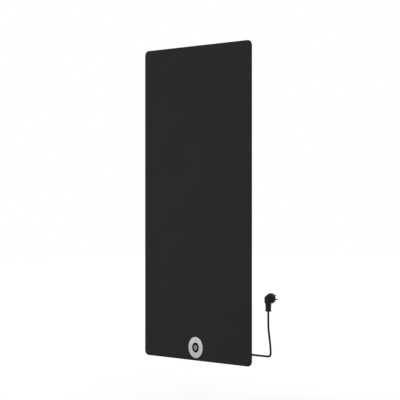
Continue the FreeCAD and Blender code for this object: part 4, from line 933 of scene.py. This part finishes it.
@dataclass
class Assembly:
    """Base of the sub-assemblies: places pieces on the frame and reports them."""

    book: FinishBook

    def piece(self, name: str, data: bpy.types.ID, body: Body, slot: Slot, node: str) -> bpy.types.Object:
        """Makes a piece and ties it to the frame.

        Args:
            name: The piece's name.
            data: Its mesh or curve.
            body: The body that it rides on.
            slot: Its material slot.
            node: The CAD node that it stands for.

        Returns:
            The new object.
        """
        data.materials.append(self.book.material(slot))
        made = bpy.data.objects.new(name, data)
        bpy.context.scene.collection.objects.link(made)
        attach(made, body.value)
        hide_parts(node)
        LOG.info("made piece %s for %s", name, node)
        return made

    def shaped(self, name: str, shape: Shaper, body: Body, slot: Slot, node: str,
               sheet: float = 0.0, even: bool = False) -> bpy.types.Object:
        """Closes a shape off and makes it a piece.

        Args:
            name: The piece's name.
            shape: What was modelled.
            body: The body that it rides on.
            slot: Its material slot.
            node: The CAD node that it stands for.
            sheet: Thickness of its sheet, inwards, where the shape is a shell.
            even: Whether its large flat faces rule the shading of the rounds beside them.

        Returns:
            The new object.
        """
        made = self.piece(name, shape.mesh(name), body, slot, node)
        if sheet:
            wall = made.modifiers.new("sheet", "SOLIDIFY")
            wall.thickness = sheet
            wall.offset = -1.0
            wall.use_even_offset = True
        if even:
            made.modifiers.new("even normals", "WEIGHTED_NORMAL").keep_sharp = True
        return made


@dataclass
class FrontPanel(Assembly):
    """The folded front tray."""

    corner: float = 20.0 * MM
    sheet: float = 1.2 * MM
    front_round: float = 1.6 * MM
    back_round: float = 0.8 * MM
    lip: float = 18.0 * MM
    hole: float = 16.6 * MM

    def build(self) -> None:
        """Makes the tray: front, folded edge, lip and the hole for the dial's hub."""
        low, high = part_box("front_panel")
        dial = middle_of("dial_ring")
        tray = Shaper()
        front = tray.rounded_face(high.x - low.x, high.z - low.z, self.corner, low.y, segments=20)
        tray.pushed(front, high.y - low.y)
        tray.rounded_edges(front.edges, self.front_round, segments=6)
        tray.rounded_edges(tray.flat_at(high.y).edges, self.back_round, segments=4)
        back = tray.flat_at(high.y)
        tray.inset(back, self.lip - self.back_round)
        tray.opened(back)
        rim = tray.opened(tray.flat_at(low.y))
        hole = tray.opened(tray.disc(self.hole, low.y, (dial.x, dial.z), segments=72))
        tray.filled(rim + hole, -ALONG_Y)
        self.shaped("front_panel_tray", tray, Body.HEATER, Slot.PANEL_BLACK, "front_panel",
                    sheet=self.sheet, even=True)


@dataclass
class RearCover(Assembly):
    """The pressed pan at the back, with its screws and the hangers' rivets."""

    sheet: float = 1.0 * MM
    flange_corner: float = 13.0 * MM
    pan_side: float = 33.0 * MM
    pan_end: float = 17.0 * MM
    pan_depth: float = 14.0 * MM
    pan_corner: float = 14.0 * MM
    foot_round: float = 0.8 * MM
    foot_border: float = 3.0 * MM
    back_round: float = 2.0 * MM
    bead_length: float = 400.0 * MM
    bead_width: float = 26.0 * MM
    bead_corner: float = 12.5 * MM
    bead_height: float = 3.0 * MM
    bead_round: float = 1.5 * MM
    bead_count: int = 4
    bead_pitch: float = 150.0 * MM
    screw_inset: float = 5.5 * MM
    screw_end: float = 60.0 * MM
    screws_side: int = 6
    screws_end: int = 3
    screw_turn: float = math.radians(37.0)
    head_radius: float = 3.5 * MM
    head_height: float = 2.2 * MM
    head_round: float = 1.1 * MM
    recess_span: float = 3.6 * MM
    recess_depth: float = 1.2 * MM
    recess_taper: float = 0.6
    rivet_radius: float = 4.0 * MM
    rivet_height: float = 1.4 * MM
    rivet_round: float = 1.12 * MM
    rivet_count: int = 4
    dimple_border: float = 1.4 * MM
    dimple_depth: float = 0.56 * MM
    dimple_taper: float = 0.8

    def build(self) -> None:
        """Makes the pan, its screws and the rivets."""
        self.pan()
        self.screws()
        self.rivets()

    def pan(self) -> None:
        """Makes the pan with its flange and stiffening beads."""
        low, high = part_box("rear_cover")
        flange_y = low.y + self.sheet
        back_y = flange_y + self.pan_depth
        width = high.x - low.x
        height = high.z - low.z
        pan_width = width - 2 * self.pan_side
        pan_height = height - 2 * self.pan_end
        shell = Shaper()
        foot = shell.rounded_face(pan_width, pan_height, self.pan_corner, flange_y)
        back = shell.pushed(foot, self.pan_depth)
        shell.rounded_edges(back.edges, self.back_round, segments=5)
        foot_loop = shell.opened(shell.flat_at(flange_y))
        border = shell.opened(shell.rounded_face(
            pan_width + 2 * self.foot_border, pan_height + 2 * self.foot_border,
            self.pan_corner + self.foot_border, flange_y))
        bmesh.ops.bridge_loops(shell.bm, edges=foot_loop + border)
        shell.rounded_edges(foot_loop, self.foot_round, segments=3)
        outer = shell.opened(shell.rounded_face(width, height, self.flange_corner, flange_y))
        shell.filled(border + outer, ALONG_Y)
        loops = shell.opened(shell.flat_at(back_y))
        reach = self.bead_pitch * (self.bead_count - 1) / 2
        for z in even_places(self.bead_count, reach):
            loops += self.bead(shell, back_y, z)
        shell.filled(loops, ALONG_Y)
        self.shaped("rear_cover_pan", shell, Body.HEATER, Slot.COVER_BLACK, "rear_cover",
                    sheet=self.sheet, even=True)

    def bead(self, shell: Shaper, back_y: float, z: float) -> list[BMEdge]:
        """Presses one bead out of the pan's back.

        Args:
            shell: The pan so far.
            back_y: Place of the pan's back.
            z: The bead's height.

        Returns:
            The edges where the bead meets the back.
        """
        base = shell.rounded_face(
            self.bead_length, self.bead_width, self.bead_corner, back_y, (0.0, z), segments=10)
        top = shell.pushed(base, self.bead_height)
        shell.rounded_edges(top.edges, self.bead_round, segments=4)
        return shell.opened(shell.flat_at(back_y, z))

    def round_head(self, radius: float, seat: float, height: float, soft: float) -> Shaper:
        """Starts a fastener's round head with a soft top edge, on the Y axis.

        Args:
            radius: Its radius.
            seat: Place of its foot.
            height: Its height, to the back.
            soft: Radius of its top edge.

        Returns:
            The head.
        """
        head = Shaper()
        top = head.pushed(head.disc(radius, seat), height)
        head.rounded_edges(top.edges, soft, segments=5)
        return head

    def screw_places(self) -> list[Vector]:
        """Works out where the flange's screws are.

        Returns:
            How far each screw is from the Y axis.
        """
        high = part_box("rear_cover")[1]
        side = high.x - self.screw_inset
        end = high.z - self.screw_inset
        rows = even_places(self.screws_side, end - self.screw_end)
        columns = even_places(self.screws_end, side - self.screw_end)
        places = [Vector((sign * side, 0.0, z)) for sign in (-1, 1) for z in rows]
        places += [Vector((x, 0.0, sign * end)) for sign in (-1, 1) for x in columns]
        return places

    def screws(self) -> None:
        """Makes the pan head screws with their cross recess."""
        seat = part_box("rear_cover")[0].y + self.sheet
        top_y = seat + self.head_height
        head = self.round_head(self.head_radius, seat, self.head_height, self.head_round)
        rim = head.opened(head.flat_at(top_y))
        head.filled(rim + self.cross_recess(head, top_y), ALONG_Y)
        head.copies(self.screw_places(), self.screw_turn)
        self.shaped("cover_screw_heads", head, Body.HEATER, Slot.ZINC_STEEL, "cover_screws")

    def cross_recess(self, head: Shaper, top_y: float) -> list[BMEdge]:
        """Sinks a tapered cross into a screw head.

        Args:
            head: The head so far, open at the top.
            top_y: Place of the head's top.

        Returns:
            The edges of the cross at the top.
        """
        size = self.recess_span / 2
        made = bmesh.ops.create_grid(
            head.bm, x_segments=3, y_segments=3, size=size,
            matrix=Matrix.Translation(ALONG_Y * top_y) @ UPRIGHT)
        faces = {f: f.calc_center_median() for v in made["verts"] for f in v.link_faces}
        corners = [f for f, middle in faces.items() if min(abs(middle.x), abs(middle.z)) > size / 3]
        bmesh.ops.delete(head.bm, geom=corners, context="FACES")
        cross = [f for f in faces if f.is_valid]
        rim = [e for e in {e for f in cross for e in f.edges} if len(e.link_faces) == 1]
        sunk = verts_in(bmesh.ops.extrude_face_region(head.bm, geom=cross)["geom"])
        bmesh.ops.delete(head.bm, geom=cross, context="FACES")
        bmesh.ops.translate(head.bm, verts=sunk, vec=-ALONG_Y * self.recess_depth)
        head.tapered(sunk, self.recess_taper)
        return [edge for edge in rim if edge.is_valid]

    def rivets(self) -> None:
        """Makes the dome rivets with the dimple of their mandrel."""
        low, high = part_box("hanger_rivets")
        seat = high.y - self.rivet_height
        head = self.round_head(self.rivet_radius, seat, self.rivet_height, self.rivet_round)
        top = head.flat_at(high.y)
        head.inset(top, self.dimple_border)
        dimple = head.pushed(top, -self.dimple_depth)
        head.opened(top)
        head.tapered(list(dimple.verts), self.dimple_taper)
        columns = even_places(self.rivet_count, high.x - self.rivet_radius)
        rows = (low.z + self.rivet_radius, high.z - self.rivet_radius)
        head.copies([Vector((x, 0.0, z)) for z in rows for x in columns])
        self.shaped("hanger_rivet_heads", head, Body.HEATER, Slot.ZINC_STEEL, "hanger_rivets")


@dataclass
class Dial(Assembly):
    """The turning ring, its index, the fixed black face with painted shade in its tone, and the push button.
    """

    ring_radius: float = 40.0 * MM
    bore_radius: float = 19.0 * MM
    recess_radius: float = 30.0 * MM
    hub_flange: float = 0.6 * MM
    rim_depth: float = 0.9 * MM
    rim_round: float = 0.35 * MM
    bore_round: float = 0.25 * MM
    back_round: float = 0.2 * MM
    dot_crown: float = 0.06 * MM
    dot_shoulder: float = 0.04 * MM
    dot_shoulder_share: float = 0.6
    bezel_radius: float = 18.6 * MM
    bezel_hole: float = 10.3 * MM
    bezel_thick: float = 0.6 * MM
    bezel_round: float = 0.35 * MM
    spindle_radius: float = 13.0 * MM
    spindle_bore: float = 11.4 * MM
    seat_radius: float = 8.5 * MM
    seat_thick: float = 4.5 * MM
    button_radius: float = 10.0 * MM
    button_lip: float = 11.1 * MM
    button_flange: float = 1.2 * MM
    button_round: float = 0.5 * MM
    dish_depth: float = 0.25 * MM
    dish_knee_depth: float = 0.1875 * MM
    dish_knee_radius: float = 4.5 * MM
    dish_knee_round: float = 2.5 * MM
    dish_radius: float = 9.0 * MM
    stem_radius: float = 3.0 * MM

    @property
    def axis_point(self) -> Vector:
        """The point of the dial's axis at the wall."""
        return middle_of("dial_ring") * Vector((1.0, 0.0, 1.0))

    def build(self) -> None:
        """Makes the dial's visible pieces."""
        self.ring()
        self.index()
        self.face()
        self.button()

    def ring(self) -> None:
        """Turns the silver ring: a shallow cone with soft rims, open at the back for the hub."""
        low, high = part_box("dial_ring")
        flange = high.y - self.hub_flange
        profile = [
            (high.y, self.recess_radius),
            (high.y, self.ring_radius),
            (high.y - self.rim_depth, self.ring_radius),
            (low.y, self.bore_radius),
            (flange, self.bore_radius),
            (flange, self.recess_radius),
            (high.y, self.recess_radius),
        ]
        rounds = {1: self.back_round, 2: self.rim_round, 3: self.bore_round}
        ring = Shaper()
        ring.lathe(profile, ALONG_Y, self.axis_point, segments=160, rounds=rounds, steps=5)
        self.shaped("dial_silver_ring", ring, Body.DIAL, Slot.SILVER_RING, "dial_ring", even=True)

    def index(self) -> None:
        """Makes the dark dot that shows the setting, a little domed in its seat."""
        low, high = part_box("dial_index")
        middle = middle_of("dial_index")
        radius = (high.x - low.x) / 2
        profile = [
            (low.y - self.dot_crown, 0.0),
            (low.y - self.dot_shoulder, self.dot_shoulder_share * radius),
            (low.y, radius),
            (high.y, radius),
            (high.y, 0.0),
        ]
        dot = Shaper()
        dot.lathe(profile, ALONG_Y, Vector((middle.x, 0.0, middle.z)), segments=40)
        self.shaped("dial_index_dot", dot, Body.DIAL, Slot.INDEX_BLACK, "dial_index")

    def face(self) -> None:
        """Turns the fixed black face, whose tone adds painted shade of the recess, and the tube behind it.
        """
        low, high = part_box("dial_spindle")
        shoulder = low.y + self.bezel_thick
        seat = high.y - self.seat_thick
        profile = [
            (low.y, self.bezel_hole),
            (low.y, self.bezel_radius),
            (shoulder, self.bezel_radius),
            (shoulder, self.spindle_radius),
            (high.y, self.spindle_radius),
            (high.y, self.seat_radius),
            (seat, self.seat_radius),
            (seat, self.spindle_bore),
            (shoulder, self.spindle_bore),
            (shoulder, self.bezel_hole),
            (low.y, self.bezel_hole),
        ]
        face = Shaper()
        face.lathe(profile, ALONG_Y, self.axis_point, segments=112, rounds={1: self.bezel_round}, steps=4)
        # The face's material carries painted shade of the recess in its tone.
        self.shaped("dial_black_face_painted_shade", face, Body.HEATER, Slot.BEZEL_BLACK, "dial_spindle", even=True)

    def button(self) -> None:
        """Turns the grey cap: dished face, soft rim, retaining lip and stem."""
        low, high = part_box("push_button")
        lip_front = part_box("dial_spindle")[0].y + self.bezel_thick
        lip_back = lip_front + self.button_flange
        profile = [
            (low.y + self.dish_depth, 0.0),
            (low.y + self.dish_knee_depth, self.dish_knee_radius),
            (low.y, self.dish_radius),
            (low.y, self.button_radius),
            (lip_front, self.button_radius),
            (lip_front, self.button_lip),
            (lip_back, self.button_lip),
            (lip_back, self.stem_radius),
            (high.y, self.stem_radius),
            (high.y, 0.0),
        ]
        rounds = {1: self.dish_knee_round, 2: self.button_round, 3: self.button_round}
        cap = Shaper()
        cap.lathe(profile, ALONG_Y, self.axis_point, segments=96, rounds=rounds, steps=5)
        self.shaped("push_button_cap", cap, Body.BUTTON, Slot.BUTTON_GREY, "push_button")


@dataclass
class MainsCord(Assembly):
    """The gland, the cord and the angled plug."""

    cord_radius: float = 3.7 * MM
    cord_length: float = 253.5 * MM
    cord_steps: int = 24
    cord_sides: int = 8
    bore_gap: float = 0.15 * MM
    collar_radius: float = 6.6 * MM
    collar_length: float = 3.0 * MM
    collar_round: float = 0.5 * MM
    wall: float = 1.0 * MM
    neck_radius: float = 4.7 * MM
    inner_radius: float = 5.0 * MM
    tip_radius: float = 5.2 * MM
    rib_depth: float = 0.6 * MM
    rib_round: float = 0.25 * MM
    rib_gap: float = 1 / 3
    rib_count: int = 4
    head_radius: float = 19.0 * MM
    back_half: float = 9.5 * MM
    back_top: float = 5.0 * MM
    facet_rise: float = 1.7
    plug_voxel: float = 0.45 * MM
    plug_passes: int = 7
    plug_softness: float = 0.5
    groove_count: int = 5
    groove_pitch: float = 3.4 * MM
    groove_width: float = 1.9 * MM
    groove_depth: float = 0.6 * MM
    groove_start: float = 10.4 * MM
    pin_radius: float = 2.4 * MM
    pin_root: float = 1.9 * MM
    pin_tip: float = 1.8 * MM
    pin_pitch: float = 19.0 * MM
    contact_length: float = 19.0 * MM

    def build(self) -> None:
        """Makes the cord with what it leaves and ends in."""
        self.gland()
        self.cord([self.body(), self.pins(), frame["nodes"]["plug_earth_clips"]])

    def cord(self, plug: list[bpy.types.Object]) -> None:
        """Lays the cord from the gland round its bend and up to the plug.

        Args:
            plug: The pieces at its far end. Not used.
        """
        route = [
            (290.0, -29.0, -557.0),
            (314.0, -29.0, -557.0),
            (356.0, -27.605, -557.2),
            (380.0, -26.675, -557.0),
            (384.8, -25.745, -551.2),
            (383.3, -24.35, -530.0),
            (376.8, -22.304, -497.0),
            (367.4, -20.444, -455.5),
            (366.7, -19.7, -424.0),
            (366.7, -19.7, -394.5),
        ]
        curve = bpy.data.curves.new("mains_cord", "CURVE")
        curve.dimensions = "3D"
        curve.resolution_u = self.cord_steps
        curve.bevel_depth = self.cord_radius
        curve.bevel_resolution = self.cord_sides
        curve.use_fill_caps = True
        line = curve.splines.new("NURBS")
        line.points.add(len(route) - 1)
        for point, place in zip(line.points, route):
            point.co = (*(Vector(place) * MM), 1.0)
        line.order_u = 3
        line.use_endpoint_u = True
        piece = self.piece("mains_cord", curve, Body.HEATER, Slot.CORD_BLACK, "power_cord")

    def gland(self) -> None:
        """Turns the gland with its ribbed taper, about the cord's axis."""
        low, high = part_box("cord_gland")
        middle = middle_of("cord_gland")
        bore = self.cord_radius + self.bore_gap
        wall_in = low.x + self.collar_length
        wall_out = wall_in + self.wall
        taper = wall_out + self.collar_length
        profile = [
            (low.x, bore),
            (low.x, self.inner_radius),
            (wall_in, self.inner_radius),
            (wall_in, self.neck_radius),
            (wall_out, self.neck_radius),
            (wall_out, self.collar_radius),
            (taper, self.collar_radius),
        ]
        rounds = {len(profile) - 1: self.collar_round}
        pitch = (high.x - taper) / self.rib_count
        for rib in range(self.rib_count):
            start = taper + rib * pitch
            step = start + pitch * self.rib_gap
            share = (rib + 1) / self.rib_count
            radius = self.collar_radius - (self.collar_radius - self.tip_radius) * share
            waist = radius - self.rib_depth
            profile += [(start, waist), (step, waist), (step, radius), (start + pitch, radius)]
            rounds[len(profile) - 2] = self.rib_round
            rounds[len(profile) - 1] = self.rib_round
        profile += [(high.x, bore), (low.x, bore)]
        gland = Shaper()
        gland.lathe(profile, ALONG_X, Vector((0.0, middle.y, middle.z)), segments=56, rounds=rounds)
        self.shaped("cord_gland_boot", gland, Body.HEATER, Slot.MOULDED_BLACK, "cord_gland")

    def body(self) -> bpy.types.Object:
        """Makes the plug's body: the CAD form with its facets and the soft edges of a moulding.

        Returns:
            The body.
        """
        form = bmesh.new()
        form.from_mesh(frame["nodes"]["plug_body"].data)
        bmesh.ops.remove_doubles(form, verts=form.verts[:], dist=SAME_POINT)
        self.corner_facets(form)
        rough = bpy.data.meshes.new("plug_form")
        form.to_mesh(rough)
        form.free()
        holder = bpy.data.objects.new("plug_form", rough)
        bpy.context.scene.collection.objects.link(holder)
        remesh = holder.modifiers.new("skin", "REMESH")
        remesh.mode = "VOXEL"
        remesh.voxel_size = self.plug_voxel
        soften = holder.modifiers.new("soften", "SMOOTH")
        soften.factor = self.plug_softness
        soften.iterations = self.plug_passes
        depsgraph = bpy.context.evaluated_depsgraph_get()
        skin = bpy.data.meshes.new_from_object(holder.evaluated_get(depsgraph))
        bpy.data.objects.remove(holder)
        bpy.data.meshes.remove(rough)
        skin.name = "plug_moulding"
        skin.materials.clear()
        skin.shade_smooth()
        self.grooves(skin)
        return self.piece("plug_moulding", skin, Body.HEATER, Slot.PLUG_BLACK, "plug_body")

    def corner_facets(self, form: BMesh) -> None:
        """Cuts a sloping facet across each upper back corner of the plug's head.

        Args:
            form: The plug's body as a closed mesh.
        """
        low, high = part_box("plug_body")
        middle = (low.x + high.x) / 2
        corner_z = high.z - self.head_radius + self.back_top
        for side in (-1.0, 1.0):
            cut = bmesh.ops.bisect_plane(
                form, geom=form.verts[:] + form.edges[:] + form.faces[:],
                plane_co=(middle + side * self.back_half, low.y, corner_z),
                plane_no=(side, -1.0, self.facet_rise), clear_outer=True)
            rim = [item for item in cut["geom_cut"] if isinstance(item, BMEdge)]
            bmesh.ops.edgeloop_fill(form, edges=rim)

    def grooves(self, skin: bpy.types.Mesh) -> None:
        """Sinks the soft grip grooves round the plug's arm.

        Args:
            skin: The plug's body, with points close enough together to take them.
        """
        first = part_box("plug_body")[0].z + self.groove_start
        shape = bmesh.new()
        shape.from_mesh(skin)
        for vert in shape.verts:
            nearest = round((vert.co.z - first) / self.groove_pitch)
            away = abs(vert.co.z - first - nearest * self.groove_pitch)
            if 0 <= nearest < self.groove_count and away < self.groove_width / 2:
                wave = math.cos(math.pi * away / self.groove_width) ** 2
                vert.co -= vert.normal * self.groove_depth * wave
        shape.to_mesh(skin)
        shape.free()

    def pins(self) -> bpy.types.Object:
        """Turns the two contact pins and the longer earth pin, with round tips and thinner roots.

        Returns:
            The pins.
        """
        low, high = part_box("plug_pins")
        middle = (low.x + high.x) / 2
        contact_z = low.z + self.pin_radius
        places = [(middle + side * self.pin_pitch / 2, contact_z, self.contact_length) for side in (-1, 1)]
        places.append((middle, high.z - self.pin_radius, high.y))
        pins = Shaper()
        for x, z, length in places:
            profile = [
                (low.y, 0.0),
                (low.y, self.pin_root),
                (0.0, self.pin_root),
                (0.0, self.pin_radius),
                (length, self.pin_radius),
                (length, 0.0),
            ]
            pins.lathe(profile, ALONG_Y, Vector((x, 0.0, z)), segments=40, rounds={4: self.pin_tip}, steps=7)
        return self.shaped("plug_contact_pins", pins, Body.HEATER, Slot.PIN_METAL, "plug_pins")


@dataclass
class InnerWorks(Assembly):
    """The CAD nodes that stay as they are: hangers, rails and everything inside the casing."""

    def build(self) -> None:
        """Puts its finish on each CAD node."""
        for name in sorted(frame["nodes"]):
            self.book.paint_node(name)


@dataclass(frozen=True)
class Viewpoint:
    """The photograph's camera: level, to the right of the heater's front."""

    place: Triple = (4.2914, -3.9143, 0.0120)
    turn: float = math.radians(47.80)
    focal_pixels: float = 1516.4
    image_pixels: float = 400.0
    sensor: float = 36.0
    sight: float = 60.0

    def build(self) -> None:
        """Sets the camera up."""
        lens = bpy.data.cameras.new("photo_camera")
        lens.sensor_width = self.sensor
        lens.lens = self.focal_pixels * self.sensor / self.image_pixels
        lens.clip_end = self.sight
        camera = bpy.data.objects.new("photo_camera", lens)
        camera.location = self.place
        camera.rotation_euler = (math.pi / 2, 0.0, self.turn)
        bpy.context.scene.collection.objects.link(camera)
        bpy.context.scene.camera = camera
        LOG.info("camera with a lens of %.1f mm", lens.lens)


@dataclass(frozen=True)
class Lamp:
    """A square soft lamp that looks at the heater's middle."""

    name: str
    place: Triple
    side: float
    watts: float

    def build(self) -> None:
        """Hangs the lamp up."""
        light = bpy.data.lights.new(self.name, "AREA")
        light.size = self.side
        light.energy = self.watts
        lamp = bpy.data.objects.new(self.name, light)
        lamp.location = self.place
        lamp.rotation_euler = (-Vector(self.place)).to_track_quat("-Z", "Y").to_euler()
        bpy.context.scene.collection.objects.link(lamp)
        LOG.info("lamp %s of %.0f W", self.name, self.watts)


@dataclass(frozen=True)
class Studio:
    """A pale floor, a white surround and soft lamps."""

    floor_drop: float = 0.25
    floor_half: float = 14.0
    floor_tone: Colour = (0.8, 0.8, 0.8)
    floor_rough: float = 0.9
    near_reach: float = 1.0
    near_lift: float = 0.37
    far_reach: float = 7.8
    far_lift: float = 0.625
    ambient: float = 0.55
    white: float = 1.0
    lamps: tuple[Lamp, ...] = (
        Lamp("key_lamp", (-0.6, -3.6, 1.6), 2.4, 36.0),
        Lamp("side_lamp", (-2.9, -2.7, -0.18), 0.4, 8.0),
        Lamp("fill_lamp", (2.6, -2.6, 1.0), 2.0, 26.0),
        Lamp("back_lamp", (0.6, 3.2, 1.6), 2.4, 30.0),
    )

    def build(self) -> None:
        """Sets the studio up."""
        bpy.context.scene.view_settings.view_transform = "Standard"
        self.world()
        self.floor()
        for lamp in self.lamps:
            lamp.build()

    def world(self) -> None:
        """Makes a surround that is white to the camera and in reflections, and softer as a light."""
        world = bpy.data.worlds.new("studio")
        world.use_nodes = True
        world.node_tree.nodes.clear()
        bpy.context.scene.world = world
        sheet = NodeSheet(world.node_tree)
        soft, bright = (
            sheet.add("ShaderNodeBackground", {"Color": WHITE, "Strength": strength}).outputs[0]
            for strength in (self.ambient, self.white)
        )
        mix = sheet.add("ShaderNodeMixShader", {0: self.seen_rays(sheet), 1: soft, 2: bright})
        sheet.add("ShaderNodeOutputWorld", {"Surface": mix.outputs[0]})

    def seen_rays(self, sheet: NodeSheet) -> Socket:
        """Tells the rays that look at the surround from those that only light the heater.

        Args:
            sheet: The node tree that asks.

        Returns:
            One for what the camera sees straight, in a reflection or through glass.
        """
        rays = sheet.add("ShaderNodeLightPath").outputs
        seen = sheet.calc("MAXIMUM", rays["Is Camera Ray"], rays["Is Glossy Ray"])
        return sheet.calc("MAXIMUM", seen, rays["Is Transmission Ray"])

    def floor(self) -> None:
        """Lays the floor below the heater."""
        shape = bmesh.new()
        level = CAD_BOX[0].z - self.floor_drop
        bmesh.ops.create_grid(shape, x_segments=1, y_segments=1, size=self.floor_half,
                              matrix=Matrix.Translation((0.0, 0.0, level)))
        mesh = bpy.data.meshes.new("studio_floor")
        shape.to_mesh(mesh)
        shape.free()
        mesh.materials.append(self.floor_paint())
        floor = bpy.data.objects.new("studio_floor", mesh)
        bpy.context.scene.collection.objects.link(floor)

    def floor_paint(self) -> bpy.types.Material:
        """Makes the floor's pale paint, lifted to white where it is seen except in shadow.

        The lamps light the floor near the heater, so less lift is needed there than further out.

        Returns:
            The material.
        """
        sheet = Surface("studio_floor_paint")
        distance = sheet.calc("SQRT", sheet.length(sheet.object_place()))
        lift = sheet.spread(distance, math.sqrt(self.near_reach), math.sqrt(self.far_reach),
                            self.near_lift, self.far_lift)
        sheet.shade({
            "Base Color": (*self.floor_tone, 1.0),
            "Roughness": self.floor_rough,
            "Specular IOR Level": 0.0,
            "Emission Color": WHITE,
            "Emission Strength": sheet.calc("MULTIPLY", self.seen_rays(sheet), lift),
        })
        return sheet.material


def main() -> None:
    """Builds the camera, the studio and every sub-assembly in order."""
    logging.basicConfig(level=logging.INFO, format="%(message)s")
    book = FinishBook(middle_of("dial_ring"))
    Viewpoint().build()
    InnerWorks(book).build()
    MainsCord(book).build()
    FrontPanel(book).build()
    RearCover(book).build()
    Dial(book).build()
    Studio().build()


if __name__ == "__main__":
    main()
